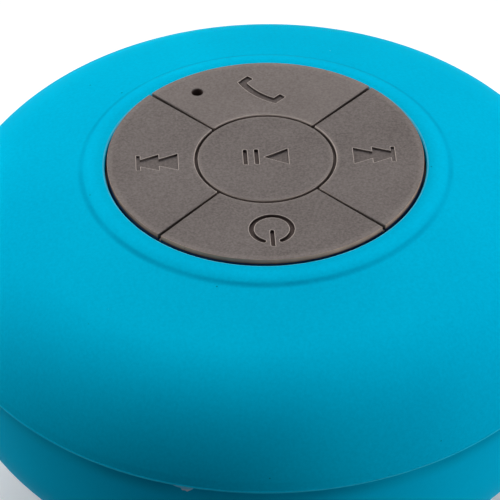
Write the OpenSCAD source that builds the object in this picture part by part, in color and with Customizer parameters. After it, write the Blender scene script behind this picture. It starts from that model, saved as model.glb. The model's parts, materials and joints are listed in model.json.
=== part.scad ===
// Round shower speaker with a five-key pad on top, standing on its suction cup.
// Z runs up through the keypad, the power key lies towards -Y, and the origin
// is the centre of the suction rim's face.

/* [Overall] */
// Widest diameter, at the lip of the cover
body_d = 86; // [84:1:110]
// Height from the suction rim to the top of the keys
total_h = 55; // [51:1:70]
// Height from the lip of the cover to the top of the keys
cap_h = 17.75; // [16.75:0.25:22]
// Depth of the base below the lip
bowl_h = 22; // [21.5:0.5:30]

/* [Cover] */
// Thickness of the rubber cover
cover_t = 1.5; // [1:0.1:2]
// Radius of the cover's shoulder
shoulder_r = 14.8; // [13:0.2:16]
// Diameter of the raised ring round the keys
ring_d = 46.8; // [46:0.2:52]
// Height of the raised ring above the crown
ring_step = 0.65; // [0.3:0.05:1.2]
// Rounding of the raised ring's outer edge
ring_round = 0.4; // [0.1:0.05:0.6]
// Rounding of the lip, which is also its drop below the shoulder
lip_round = 0.4; // [0.2:0.1:0.8]
// Inward reach of the hem under the frame
hem_w = 2.8; // [2.4:0.1:3.4]
// Thickness of the hem
hem_t = 1.2; // [0.8:0.1:1.6]

/* [Keypad] */
// Diameter of the whole keypad
keypad_d = 40.5; // [38:0.5:42]
// Diameter of the middle key
play_d = 17.2; // [15:0.2:20]
// Turn of the keypad about the axis, in degrees
keypad_turn = 3; // [-10:1:10]
// Thickness of a key
key_t = 2.6; // [2:0.1:3.2]
// Height of the keys above the raised ring
key_proud = 0.6; // [0.2:0.1:1.2]
// Rounding of the keypad's outer edge
key_round = 0.4; // [0.2:0.1:1.4]
// Travel of a key
key_travel = 0.5; // [0.3:0.05:0.8]
// Depth of the sunk symbols
icon_depth = 0.4; // [0.2:0.05:0.6]
// Line width of the sunk symbols
icon_line = 0.45; // [0.3:0.05:0.8]
// Distance of the outer switches from the axis
switch_x = 14.2; // [13:0.1:16]
// Radius of the microphone hole
mic_hole_r = 0.7; // [0.4:0.05:1]

/* [Frame] */
// Thickness of the inner frame
frame_t = 2; // [1.6:0.1:2.6]
// Thickness of the deck under the keys
deck_t = 1.6; // [1.2:0.1:2]
// Width of the frame's foot on the base rim
foot_w = 2.7; // [2.5:0.1:3.5]

/* [Base] */
// Step in from the lip to the base wall
lip_overhang = 0.8; // [0.4:0.1:1.6]
// Radius of the base's turned-under corner
corner_r = 13.6; // [12:0.2:14]
// Thickness of the base wall
base_t = 2.2; // [1.8:0.1:2.8]
// Number of sound slots in the floor
slot_n = 12; // [8:1:16]
// Width of a sound slot
slot_w = 1.6; // [1:0.1:2.2]
// Radius of a screw column
column_r = 4.2; // [4:0.1:5]

/* [Suction cup] */
// Diameter of the suction rim
cup_d = 62.4; // [56:0.2:66]
// Width of the flat suction rim
cup_rim_w = 3.7; // [3:0.1:5]
// Depth of the hollow under the cup
cup_depth = 8.5; // [7:0.5:9]
// Radius of the neck between cup and base
neck_r = 9; // [8.5:0.1:10]
// Radius of the plug pressed into the base
plug_r = 7.5; // [6:0.1:8]
// Length of the plug
plug_l = 4.8; // [3:0.1:5]

/* [Driver] */
// Radius of the driver's flange
flange_r = 23.9; // [23:0.1:25]
// Height of the driver
driver_h = 15.5; // [15:0.1:16.5]
// Radius of the voice coil former
coil_r = 6.9; // [6:0.1:7.2]
// Thickness of the gasket under the flange
gasket_t = 0.5; // [0.3:0.1:1]

/* [Electronics] */
// Radius of the main board
board_r = 29; // [27.5:0.5:30]
// Thickness of the main board
board_t = 1.6; // [1:0.1:1.6]
// Length of the battery
battery_l = 32; // [28:0.5:36]
// Width of the battery
battery_w = 25; // [20:0.5:28]
// Thickness of the battery
battery_t = 4.3; // [3.8:0.1:4.6]
// Thickness of the battery's tape
tape_t = 0.4; // [0.2:0.1:0.6]
// Height of a switch with its plunger
switch_h = 5; // [4.6:0.1:5.5]
// Width of a switch body
switch_w = 6; // [5:0.1:6.2]
// Height of the charge socket's middle below the lip
port_drop = 10.55; // [10:0.05:11]

/* [Clearances] */
// Gap between keys and round them
key_gap = 0.4; // [0.3:0.02:0.5]
// Gap between the cover and the frame
cover_gap = 0.3; // [0.2:0.05:0.5]
// Gap between faces that seat on each other
seat_gap = 0.1; // [0.05:0.05:0.2]
// Gap round a stem, screw or lead in its hole
hole_gap = 0.3; // [0.2:0.05:0.4]
// Gap round a part that slides in a close bore
slide_gap = 0.05; // [0.02:0.01:0.1]

/* [Hidden] */
$fn = 96;
fine = 288;
big = 200;
over = 1;
blue = [0, 0.66, 0.81];
taupe = [0.46, 0.42, 0.41];
black = [0.1, 0.1, 0.11];
steel = [0.72, 0.73, 0.75];
board_green = [0.1, 0.35, 0.2];

// Heights and radii of the outside
cover_r = body_d / 2;
key_top = total_h;
lip_z = total_h - cap_h;
lip_low = lip_z - lip_round;
base_z = lip_z - bowl_h;
bowl_r = cover_r - lip_overhang;
rim_z = lip_low - seat_gap;
ring_r = ring_d / 2;
ring_top = key_top - key_proud;

// The crown is an arc on the axis that starts at the ring's foot and meets the shoulder smoothly
shoulder_x = cover_r - shoulder_r;
crown_rise = ring_top - ring_step - lip_z;
crown_m = -crown_rise / shoulder_r;
crown_s = pow(shoulder_r, 2) - pow(shoulder_x, 2) + pow(ring_r, 2) + pow(crown_rise, 2);
crown_k = crown_s / (2 * shoulder_r);
crown_a = 1 - pow(crown_m, 2);
crown_b = crown_rise + crown_k * crown_m;
crown_c = pow(ring_r, 2) + pow(crown_rise, 2) - pow(crown_k, 2);
crown_low = crown_c / (crown_b - sqrt(pow(crown_b, 2) - crown_a * crown_c));
crown_r = sqrt(pow(ring_r, 2) + pow(crown_rise - crown_low, 2));
crown_z = lip_z + crown_low;
joint_a = atan2(shoulder_x, -crown_low);

// Keys
key_r = keypad_d / 2;
hole_r = key_r + cover_gap;
play_r = play_d / 2;
sector_in = play_r + key_gap;
key_low = key_top - key_t;
deck_top = key_low - key_travel - hole_gap;
deck_low = deck_top - deck_t;
stem_r = 1.6;
deck_lap = 2;
collar_r = 2.5;
collar_t = 1;
collar_top = deck_low - seat_gap;
stem_foot = 0.6;
stem_low = collar_top - collar_t - stem_foot;
mic_xy = [-8.11, 14.4];
mic_r = 2;
mic_h = 1.6;
boot_t = 1;

// Symbols, placed in the keypad's own directions
power_icon_xy = [-0.03, -14.3];
power_icon_r = 2.76;
power_gap_a = 24;
power_bar_l = 3.05;
phone_icon_xy = [-0.39, 13.64];
phone_icon_l = 6.6;
phone_icon_a = -46;
phone_bow_r = 9.5;
phone_line = 0.87;
earpiece = [0.85, 1.7];
earpiece_low = 0.2;
next_icon_xy = [-13.87, -0.07];
previous_icon_xy = [13.93, -0.27];
skip_icon_l = 5.25;
skip_icon_half = 1.57;
skip_icon_waist = 0.62;
play_icon_y = 0.2;
play_icon_half = 1.53;
play_icon_l = 3.02;
play_icon_x = -0.1;
play_bars_x = [-2.8, -1.35];
icon_lap = 0.1;

// Board stack
board_top = stem_low - switch_h;
board_low = board_top - board_t;
switch_body_h = 3.4;
plunger_r = 1.7;
plunger_l = 2.5;
board_screw_x = 25.5;
board_screw_a = 33;
board_screws_n = 3;
board_screw_r = 0.8;
board_screw_l = 4.5;
board_head_r = 1.9;
board_head_h = 1.3;
boss_r = 3.2;
post_r = 2.4;
battery_room = 0.5;
// Each chip's angle, distance from the axis and size
chips = [[-45, 18, [7, 7, 0.9]], [225, 18, [5, 4, 1.5]], [45, 17, [4, 4, 2]],
    [-20, 22.5, [2.5, 3.2, 0.8]]];
capacitor = [0.8, 1.6, 0.8];
capacitors_n = 6;
capacitor_a = 196;
capacitor_step = 8;
capacitor_x = board_r - 4.5;
battery_low = board_low - battery_room - battery_t;
yoke_top = battery_low - tape_t;
tape = [20, 18];
lead_r = 0.45;
lead_bend = 1.5;
lead_run = 2;
lead_drop = 0.3;
battery_lead_y = 1.5;
speaker_lead_y = 1.6;

// Driver, facing down on a ring that stands on the floor of the base
driver_z = yoke_top - driver_h;
floor_z = base_z + base_t;
seat_top = driver_z - gasket_t;
seat_in = flange_r - 4.5;
driver_screw_x = flange_r - 2;
driver_screws_n = 4;
driver_screw_r = 0.8;
driver_head_r = 1.6;
driver_head_h = 1.1;
driver_grip = 1.9;
flange_t = 1;
flange_in = flange_r - 5.3;
top_ring_z = driver_z + 7.5;
plate_h = 8.3;
plate_z = driver_z + plate_h;
plate_t = 1.7;
magnet_t = 4;
yoke_t = driver_h - plate_h - plate_t - magnet_t;
pole_r = coil_r - 0.9;
gap_r = coil_r + 0.8;
magnet_r = 13.5;
cone_r = flange_in - 3;
terminal_x = seat_in + hole_gap;
terminal_h = 6;
terminal = [0.8, 6];
driver_screw_a = 45;
basket_t = 0.6;
basket_wall_z = driver_z + 3.4;
basket_window = [8, 3];
basket_window_z = driver_z + 2.2;
basket_lap = 0.1;
plate_in = 0.5;
pole_drop = 0.1;
magnet_gap = 0.9;
// Steps of the surround's section, inwards and up from its outer edge
edge_h = 0.9;
roll_x = [0.4, 0.7, 1.3, 1.6];
roll_h = [0.45, 2.45];
roll_drop = 0.25;
cone_edge_z = driver_z + 2.3;
cone_t = 0.4;
neck_z = driver_z + 4.8;
neck_t = 0.5;
neck_h = 1.2;
dust_ball = 12;
dust_t = 0.35;
former_t = 0.4;
former_h = 6.2;
winding_h = 2;
spider_z = driver_z + 6.1;
spider_t = 0.3;
spider_flat = 3.6;
spider_w = 5.2;
spider_bend = 0.1;
mesh_t = 0.3;

// Base fittings
foot_r = cover_r - hem_w - cover_gap;
foot_in = foot_r - foot_w;
seal_r = foot_r - foot_w / 2;
seal_d = 1.44;
groove_w = 1.7;
groove_h = 1.5;
ledge_h = 3.25;
column_x = bowl_r - 7.7;
case_screws_n = 4;
case_screw_a = 45;
case_screw_r = 1.25;
case_head_r = 2.5;
case_head_h = 1.9;
case_seat_z = base_z + 11.75;
case_screw_top = lip_z + 5;
tip_gap = 0.5;
well_gap = hole_gap + 0.1;
socket_r = plug_r + slide_gap;
socket_wall = 2.2;
socket_roof = 1.5;
slot_in = socket_r + socket_wall + 1.7;
slot_out = seat_in - 0.9;

// Charge port
port_z = lip_z - port_drop;
port_face = bowl_r - 2.3;
port_pad = port_face - 2.4;
port_w = 8.3;
port_h = 3.4;
socket_w = 7.5;
socket_h = 2.6;
socket_l = 5.4;
socket_mouth = port_pad + 0.7;
charge_top = port_z - socket_h / 2;
charge_t = 1.2;
charge_low = charge_top - charge_t;
charge_w = 14;
charge_lap = 2;
charge_in = board_r - charge_lap;
charge_post_x = 5;
charge_post_y = charge_in + 2.5;
charge_post_r = 2;
charge_screw_r = 0.7;
charge_head_r = 1.5;
charge_head_h = 1;
charge_grip = 4;
ribbon_w = 6;
ribbon_t = 0.6;
flap_w = 13.7;
flap_h = 6.4;
hinge_x = 7.15;
anchor_w = 3.6;
anchor_h = 4;
peg_r = 1.1;
peg_l = 1.5;
peg_root = 0.4;
peg_hole_l = peg_l + 0.1;
flap_cut = 1.2;
port_cut = 1.3;
tongue_l = 1.4;
tongue_root = 0.6;
tongue_gap = 0.45;
pad = [flap_w + 7, flap_h + 0.8];
pad_x = 2;
socket_t = 0.4;
socket_back = 1.2;
contact = [3.6, 0.6];
contact_z = 1.2;
contact_l = socket_l - 1;
contact_in = 0.2;

// Suction cup, a shell of two spheres with one centre
cup_in_r = cup_d / 2 - cup_rim_w;
cup_ball = (pow(cup_in_r, 2) + pow(cup_depth, 2)) / (2 * cup_depth);
cup_ball_z = cup_depth - cup_ball;
cup_shell = sqrt(pow(cup_d / 2, 2) + pow(cup_ball_z, 2));
cup_t = cup_shell - cup_ball;

// Section under the dome, set in from the outside by the given amount
module dome_region(inset) {
    joint_x = (crown_r - inset) * sin(joint_a);
    intersection() {
        translate([0, crown_z])
            circle(crown_r - inset);
        translate([0, lip_z])
            square([joint_x, cap_h]);
    }
    intersection() {
        translate([shoulder_x, lip_z])
            circle(shoulder_r - inset);
        translate([joint_x, lip_z])
            square([cover_r, cap_h]);
    }
}

// Section of the bowl, set in by the given amount and open at the given height
module bowl_region(inset, top) {
    corner = corner_r - inset;
    corner_x = bowl_r - corner_r;
    corner_z = base_z + corner_r;
    translate([0, base_z + inset])
        square([corner_x, top - base_z - inset]);
    translate([corner_x, corner_z])
        square([corner, top - corner_z]);
    intersection() {
        translate([corner_x, corner_z])
            circle(corner);
        translate([corner_x, corner_z - corner])
            square(corner);
    }
}

// Rectangle from the axis side, with its top outer corner rounded
module rounded_step(inner, outer, low, top, radius) {
    translate([inner, low])
        square([outer - inner - radius, top - low]);
    translate([outer - radius, low])
        square([radius, top - low - radius]);
    intersection() {
        translate([outer - radius, top - radius])
            circle(radius);
        translate([outer - radius, top - radius])
            square(radius);
    }
}

// Children repeated round the axis, the first at the given angle
module round_copies(n, start, x) {
    for (i = [0 : n - 1])
        rotate(start + 360 * i / n)
            translate([x, 0, 0])
                children();
}

// Rod between two heights
module rod(radius, low, top) {
    translate([0, 0, low])
        cylinder(r = radius, h = top - low);
}

// Washer between two heights
module washer(inner, outer, low, top) {
    difference() {
        rod(outer, low, top);
        rod(inner, low - over, top + over);
    }
}

// Block centred in X and Y on a point, standing on the given height
module block(size, at) {
    translate([at[0] - size[0] / 2, at[1] - size[1] / 2, at[2]])
        cube(size);
}

// Screw with its head at the given height, pointing up for a positive length
module screw(head_r, head_h, shank_r, seat, length) {
    way = sign(length);
    rod(head_r, min(seat, seat - way * head_h), max(seat, seat - way * head_h));
    rod(shank_r, min(seat, seat + length), max(seat, seat + length));
}

// Cover and frame

module cover_section() {
    hem_in = cover_r - hem_w;
    difference() {
        union() {
            dome_region(0);
            rounded_step(hole_r, ring_r, lip_z + cap_h / 2, ring_top, ring_round);
            translate([hem_in, lip_low])
                square([hem_w - lip_round, lip_round]);
            intersection() {
                translate([cover_r - lip_round, lip_z])
                    circle(lip_round);
                translate([cover_r - lip_round, lip_low])
                    square(lip_round);
            }
        }
        intersection() {
            dome_region(cover_t);
            translate([0, lip_low + hem_t])
                square([cover_r, cap_h]);
        }
        translate([0, lip_low - over])
            square([hem_in, hem_t + 2 * over]);
        translate([0, lip_low - over])
            square([hole_r, cap_h + 2 * over]);
    }
}

module upper_sleeve() {
    color(blue)
        rotate_extrude()
            cover_section();
}

module frame_section() {
    out = cover_t + cover_gap;
    hem_top = lip_low + hem_t + seat_gap;
    difference() {
        union() {
            intersection() {
                dome_region(out);
                translate([0, hem_top])
                    square([cover_r, cap_h]);
            }
            translate([foot_in, lip_low])
                square([foot_w, 2 * hem_t]);
        }
        intersection() {
            dome_region(out + frame_t);
            polygon([[0, lip_z], [foot_in, lip_z], [foot_in, hem_top + hem_t],
                [cover_r, hem_top + hem_t], [cover_r, key_top], [0, key_top]]);
        }
        translate([0, deck_top])
            square([hole_r + hole_gap, cap_h]);
    }
    translate([0, deck_low])
        square([hole_r + deck_lap, deck_t]);
}

// Places of the five switches in the keypad's own directions
module at_switches() {
    children();
    for (turn = [0 : 90 : 270])
        rotate(keypad_turn + turn)
            translate([switch_x, 0, 0])
                rotate(-turn)
                    children();
}

module at_mic() {
    rotate(keypad_turn)
        translate([mic_xy[0], mic_xy[1], 0])
            children();
}

module upper_frame() {
    color(black)
        difference() {
            union() {
                rotate_extrude()
                    frame_section();
                intersection() {
                    rotate_extrude()
                        union() {
                            dome_region(cover_t + cover_gap + frame_t / 2);
                            translate([0, lip_low])
                                square([foot_r, lip_round + over]);
                        }
                    union() {
                        round_copies(case_screws_n, case_screw_a, column_x)
                            rod(boss_r, lip_low, key_top);
                        round_copies(board_screws_n, board_screw_a, board_screw_x)
                            rod(post_r, board_top, deck_top);
                    }
                }
            }
            round_copies(case_screws_n, case_screw_a, column_x)
                rod(case_screw_r + slide_gap, lip_low - over, case_screw_top + tip_gap);
            round_copies(board_screws_n, board_screw_a, board_screw_x)
                rod(board_screw_r + slide_gap, board_top - over, board_top + board_screw_l + hole_gap);
            at_switches()
                rod(stem_r + hole_gap, deck_low - over, deck_top + over);
            at_mic()
                rod(mic_hole_r + hole_gap, deck_low - over, deck_top + over);
        }
}

// Base

module base_section() {
    difference() {
        union() {
            difference() {
                bowl_region(0, rim_z);
                bowl_region(base_t, rim_z + over);
            }
            polygon([[foot_in, rim_z], [bowl_r - base_t / 2, rim_z],
                [bowl_r - base_t / 2, rim_z - ledge_h - foot_w], [foot_in, rim_z - ledge_h]]);
            translate([0, floor_z - base_t / 2])
                square([socket_r + socket_wall, plug_l + seat_gap + socket_roof - base_t / 2]);
            translate([seat_in, floor_z - base_t / 2])
                square([flange_r - seat_in + hole_gap, seat_top - floor_z + base_t / 2]);
        }
        translate([seal_r - groove_w / 2, rim_z - groove_h])
            square([groove_w, groove_h + over]);
        translate([0, base_z - over])
            square([socket_r, plug_l + 2 * seat_gap + over]);
    }
}

module at_charge_posts() {
    for (side = [-1, 1])
        translate([side * charge_post_x, charge_post_y, 0])
            children();
}

// Outline of the flap's place in the wall, with the corners cut off
module port_outline(w, h, cut) {
    polygon([[-w / 2 + cut, -h / 2], [w / 2, -h / 2], [w / 2, h / 2],
        [-w / 2 + cut, h / 2], [-w / 2, h / 2 - cut], [-w / 2, -h / 2 + cut]]);
}

// Children drawn in X and Z become a block that runs along Y
module along_y(from, to) {
    translate([0, to, 0])
        rotate([90, 0, 0])
            linear_extrude(to - from)
                children();
}

module base_shell() {
    color(blue)
        difference() {
            union() {
                rotate_extrude()
                    base_section();
                intersection() {
                    rotate_extrude()
                        bowl_region(base_t / 2, rim_z);
                    union() {
                        round_copies(case_screws_n, case_screw_a, column_x)
                            rod(column_r, base_z, rim_z);
                        at_charge_posts()
                            rod(charge_post_r, base_z, charge_low);
                        along_y(port_pad, cover_r)
                            translate([pad_x, port_z])
                                square(pad, center = true);
                    }
                }
            }
            rotate_extrude()
                translate([seal_r - groove_w / 2, rim_z - groove_h])
                    square([groove_w, groove_h + over]);
            round_copies(case_screws_n, case_screw_a, column_x) {
                rod(case_screw_r + hole_gap, base_z, rim_z + over);
                rod(case_head_r + well_gap, base_z - over, case_seat_z);
            }
            round_copies(driver_screws_n, driver_screw_a, driver_screw_x)
                rod(driver_screw_r + slide_gap, seat_top - driver_grip - hole_gap, seat_top + over);
            at_charge_posts()
                rod(charge_screw_r + slide_gap, charge_low - charge_grip - hole_gap, charge_low + over);
            for (i = [0 : slot_n - 1])
                rotate(360 * i / slot_n)
                    translate([slot_in, -slot_w / 2, base_z - over])
                        cube([slot_out - slot_in, slot_w, base_t + 2 * over]);
            along_y(port_pad - over, port_face + over)
                translate([0, port_z])
                    square([port_w, port_h], center = true);
            along_y(port_face, big)
                translate([0, port_z]) {
                    port_outline(flap_w + 2 * hole_gap, flap_h + 2 * hole_gap, port_cut);
                    translate([hinge_x, -anchor_h / 2 - hole_gap])
                        square([anchor_w + 2 * hole_gap, anchor_h + 2 * hole_gap]);
                }
            along_y(port_face - peg_hole_l, port_face + over)
                translate([hinge_x + hole_gap + anchor_w / 2, port_z])
                    circle(peg_r + slide_gap);
        }
}

// Keys

module key_stem() {
    rod(stem_r, stem_low, key_low + key_t / 2);
    rod(collar_r, collar_top - collar_t, collar_top);
}

module sunk() {
    translate([0, 0, key_top - icon_depth])
        linear_extrude(icon_depth + over)
            children();
}

// Quarter key whose middle lies at the given turn, with the symbol drawn in the keypad's directions
module sector_key(turn) {
    apex = key_gap / 2 / sin(45);
    rotate(keypad_turn + turn)
        difference() {
            union() {
                intersection() {
                    rotate_extrude()
                        rounded_step(sector_in, key_r, key_low, key_top, key_round);
                    translate([0, 0, key_low - over])
                        linear_extrude(key_t + 2 * over)
                            polygon([[apex, 0], [apex + big, -big], [apex + big, big]]);
                }
                translate([switch_x, 0, 0])
                    key_stem();
            }
            rotate(-turn)
                children();
        }
}

// Wedge that widens from its point on the origin to its base at x = length, blunt where it has a waist
module pointer(length, half, waist = 0) {
    blunt = waist > 0 ? [[0, -waist], [0, waist]] : [[0, 0]];
    polygon(concat(blunt, [[length, half], [length, -half]]));
}

// Bar and two blunt pointers that point at it
module skip_icon() {
    wedge = (skip_icon_l - icon_line) / 2;
    translate([-skip_icon_l / 2, -skip_icon_half])
        square([icon_line, 2 * skip_icon_half]);
    for (i = [0, 1])
        translate([-skip_icon_l / 2 + icon_line + i * wedge - icon_lap, 0])
            pointer(wedge + icon_lap, skip_icon_half, skip_icon_waist);
}

// Pause bars and a pointer
module play_icon() {
    for (x = play_bars_x)
        translate([x, -play_icon_half])
            square([icon_line, 2 * play_icon_half]);
    translate([play_icon_x, 0])
        pointer(play_icon_l, play_icon_half);
}

// Open circle with a bar through the opening
module power_icon() {
    difference() {
        circle(power_icon_r);
        circle(power_icon_r - icon_line);
        polygon([[0, 0], [-big * sin(power_gap_a), -big * cos(power_gap_a)],
            [big * sin(power_gap_a), -big * cos(power_gap_a)]]);
    }
    translate([-icon_line / 2, -power_icon_r - icon_line])
        square([icon_line, power_bar_l]);
}

// Handset on a shallow arc, with an earpiece at each end
module phone_icon() {
    intersection() {
        translate([0, phone_bow_r - phone_line / 2])
            difference() {
                circle(phone_bow_r);
                circle(phone_bow_r - phone_line);
            }
        square([phone_icon_l, 2 * phone_line], center = true);
    }
    for (side = [-1, 1])
        translate([side * (phone_icon_l - earpiece[0]) / 2 - earpiece[0] / 2, earpiece_low])
            square(earpiece);
}

module power_key() {
    color(taupe)
        sector_key(270)
            sunk()
                translate(power_icon_xy)
                    power_icon();
}

module call_key() {
    color(taupe)
        sector_key(90) {
            sunk()
                translate(phone_icon_xy)
                    rotate(phone_icon_a)
                        phone_icon();
            translate([mic_xy[0], mic_xy[1], 0])
                rod(mic_hole_r, key_low - over, key_top + over);
        }
}

module previous_key() {
    color(taupe)
        sector_key(0)
            sunk()
                translate(previous_icon_xy)
                    mirror([1, 0])
                        skip_icon();
}

module next_key() {
    color(taupe)
        sector_key(180)
            sunk()
                translate(next_icon_xy)
                    skip_icon();
}

module play_key() {
    color(taupe)
        rotate(keypad_turn)
            difference() {
                union() {
                    rod(play_r, key_low, key_top);
                    key_stem();
                }
                sunk()
                    translate([0, play_icon_y])
                        play_icon();
            }
}

// Switches and board

module plunger() {
    rod(plunger_r, stem_low - plunger_l, stem_low);
}

module outer_plunger(turn) {
    color(black)
        rotate(keypad_turn + turn)
            translate([switch_x, 0, 0])
                plunger();
}

module power_plunger() {
    outer_plunger(270);
}

module call_plunger() {
    outer_plunger(90);
}

module previous_plunger() {
    outer_plunger(0);
}

module next_plunger() {
    outer_plunger(180);
}

module play_plunger() {
    color(black)
        plunger();
}

module switch_bodies() {
    color(steel)
        at_switches()
            difference() {
                block([switch_w, switch_w, switch_body_h], [0, 0, board_top]);
                rod(plunger_r + slide_gap, stem_low - plunger_l - key_travel - hole_gap, key_top);
            }
}

module main_board() {
    color(board_green)
        difference() {
            rod(board_r, board_low, board_top);
            round_copies(board_screws_n, board_screw_a, board_screw_x)
                rod(board_screw_r + hole_gap, board_low - over, board_top + over);
        }
}

module board_chips() {
    color(black) {
        for (chip = chips)
            rotate(keypad_turn + chip[0])
                block(chip[2], [chip[1], 0, board_top]);
        for (i = [0 : capacitors_n - 1])
            rotate(keypad_turn + capacitor_a + capacitor_step * i)
                block(capacitor, [capacitor_x, 0, board_top]);
    }
}

module board_screws() {
    color(steel)
        round_copies(board_screws_n, board_screw_a, board_screw_x)
            screw(board_head_r, board_head_h, board_screw_r, board_low, board_t + board_screw_l);
}

module microphone() {
    color(steel)
        at_mic()
            rod(mic_r, board_top, board_top + mic_h);
}

module microphone_boot() {
    color(black)
        at_mic()
            washer(mic_r + slide_gap, mic_r + boot_t, board_top, collar_top);
}

// Battery and leads

module battery_cell() {
    color([0.75, 0.76, 0.78])
        block([battery_l, battery_w, battery_t], [0, 0, battery_low]);
}

module battery_tape() {
    color([0.9, 0.9, 0.88])
        block([tape[0], tape[1], tape_t], [0, 0, yoke_top]);
}

// Lead that leaves the battery's end and turns up to the board
module battery_lead(at_y) {
    lead_z = battery_low + battery_t / 2 - lead_drop;
    translate([battery_l / 2, at_y, lead_z]) {
        rotate([0, 90, 0])
            cylinder(r = lead_r, h = lead_run);
        translate([lead_run, 0, lead_bend])
            rotate([90, 0, 0])
                rotate_extrude(angle = 90, start = -90)
                    translate([lead_bend, 0])
                        circle(lead_r);
        translate([lead_run + lead_bend, 0, lead_bend])
            cylinder(r = lead_r, h = board_low - lead_z - lead_bend);
    }
}

module battery_leads() {
    color([0.7, 0.1, 0.1])
        for (side = [-1, 1])
            battery_lead(side * battery_lead_y);
}

module driver_terminal() {
    color([0.55, 0.4, 0.2])
        block([terminal[0], terminal[1], terminal_h], [-terminal_x, 0, driver_z + flange_t]);
}

module speaker_leads() {
    color([0.15, 0.15, 0.15])
        for (side = [-1, 1])
            translate([-terminal_x, side * speaker_lead_y, 0])
                rod(lead_r, driver_z + flange_t + terminal_h, board_low);
}

// Charge port

module charge_board() {
    color(board_green)
        difference() {
            block([charge_w, port_pad - hole_gap - charge_in, charge_t],
                [0, (port_pad - hole_gap + charge_in) / 2, charge_low]);
            at_charge_posts()
                rod(charge_screw_r + hole_gap, charge_low - over, charge_top + over);
        }
}

module charge_ribbon() {
    color([0.8, 0.8, 0.76])
        block([ribbon_w, ribbon_t, board_low - charge_top], [0, charge_in + ribbon_t, charge_top]);
}

module charge_screws() {
    color(steel)
        at_charge_posts()
            screw(charge_head_r, charge_head_h, charge_screw_r, charge_top, -charge_t - charge_grip);
}

// Thin box with a mouth and a tongue inside it
module charge_socket() {
    mid = socket_mouth - socket_l / 2;
    color(steel) {
        difference() {
            block([socket_w, socket_l, socket_h], [0, mid, charge_top]);
            block([socket_w - 2 * socket_t, socket_l, socket_h - 2 * socket_t],
                [0, mid + socket_back, charge_top + socket_t]);
        }
        block([contact[0], contact_l, contact[1]], [0, mid - contact_in, charge_top + contact_z]);
    }
}

// Flap flush with the wall, with a tongue that fills the mouth
module port_plug() {
    color(blue) {
        intersection() {
            rotate_extrude($fn = fine)
                bowl_region(seat_gap, rim_z);
            along_y(port_face + seat_gap, cover_r)
                translate([0, port_z])
                    port_outline(flap_w, flap_h, flap_cut);
        }
        along_y(port_face - tongue_l, port_face + tongue_root)
            translate([0, port_z])
                square([port_w - 2 * tongue_gap, port_h - 2 * hole_gap], center = true);
    }
}

module plug_anchor() {
    mid_x = hinge_x + hole_gap + anchor_w / 2;
    color(blue) {
        intersection() {
            rotate_extrude($fn = fine)
                bowl_region(seat_gap, rim_z);
            along_y(port_face + slide_gap, cover_r)
                translate([mid_x, port_z])
                    square([anchor_w, anchor_h], center = true);
        }
        along_y(port_face - peg_l, port_face + peg_root)
            translate([mid_x, port_z])
                circle(peg_r);
    }
}

// Driver

module driver_basket() {
    color(steel)
        difference() {
            rotate_extrude()
                polygon([[flange_in, driver_z], [flange_r, driver_z], [flange_r, driver_z + flange_t],
                    [flange_in + basket_t, driver_z + flange_t], [flange_in + basket_t, basket_wall_z],
                    [magnet_r + basket_lap, top_ring_z - basket_lap], [magnet_r + basket_lap, plate_z],
                    [gap_r, plate_z], [gap_r, top_ring_z], [magnet_r - magnet_gap, top_ring_z],
                    [flange_in, basket_wall_z - basket_lap]]);
            for (i = [0 : 3])
                rotate(90 * i)
                    block([big, basket_window[0], basket_window[1]], [big / 2, 0, basket_window_z]);
            round_copies(driver_screws_n, driver_screw_a, driver_screw_x)
                rod(driver_screw_r + hole_gap, driver_z - over, driver_z + flange_t + over);
        }
}

module driver_gasket() {
    color(black)
        difference() {
            washer(seat_in, flange_r, seat_top, driver_z);
            round_copies(driver_screws_n, driver_screw_a, driver_screw_x)
                rod(driver_screw_r + hole_gap, seat_top - over, driver_z + over);
        }
}

module driver_screws() {
    color(steel)
        round_copies(driver_screws_n, driver_screw_a, driver_screw_x)
            screw(driver_head_r, driver_head_h, driver_screw_r, driver_z + flange_t,
                -flange_t - gasket_t - driver_grip);
}

// Rolled edge between flange and cone
module driver_surround() {
    out = flange_in - slide_gap;
    in = cone_r + slide_gap;
    edge_low = driver_z + slide_gap;
    edge_top = driver_z + edge_h;
    roll_z = cone_edge_z + slide_gap;
    color(black)
        rotate_extrude()
            polygon([[out, edge_low], [out, edge_top], [out - roll_x[0], edge_top],
                [out - roll_x[2], edge_low + roll_h[1]], [in, roll_z + cone_t], [in, roll_z],
                [out - roll_x[3], roll_z - roll_drop], [out - roll_x[1], edge_low + roll_h[0]],
                [out - roll_x[1], edge_low]]);
}

module driver_cone() {
    neck = coil_r + slide_gap;
    color([0.2, 0.2, 0.2])
        rotate_extrude()
            polygon([[cone_r, cone_edge_z], [cone_r, cone_edge_z + cone_t],
                [neck + neck_t, neck_z + neck_t], [neck + neck_t, neck_z + neck_h],
                [neck, neck_z + neck_h], [neck, neck_z]]);
}

// Thin cap under the coil, bulging down
module dust_cap() {
    ball_z = neck_z + sqrt(pow(dust_ball, 2) - pow(coil_r, 2));
    color([0.15, 0.15, 0.15])
        rotate_extrude()
            intersection() {
                difference() {
                    translate([0, ball_z])
                        circle(dust_ball);
                    translate([0, ball_z])
                        circle(dust_ball - dust_t);
                }
                translate([0, driver_z])
                    square([coil_r, neck_z - driver_z]);
            }
}

module voice_coil() {
    color([0.72, 0.45, 0.2])
        rotate_extrude() {
            translate([coil_r - former_t, neck_z])
                square([former_t, former_h]);
            translate([coil_r, plate_z])
                square([former_t, winding_h]);
        }
}

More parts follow.
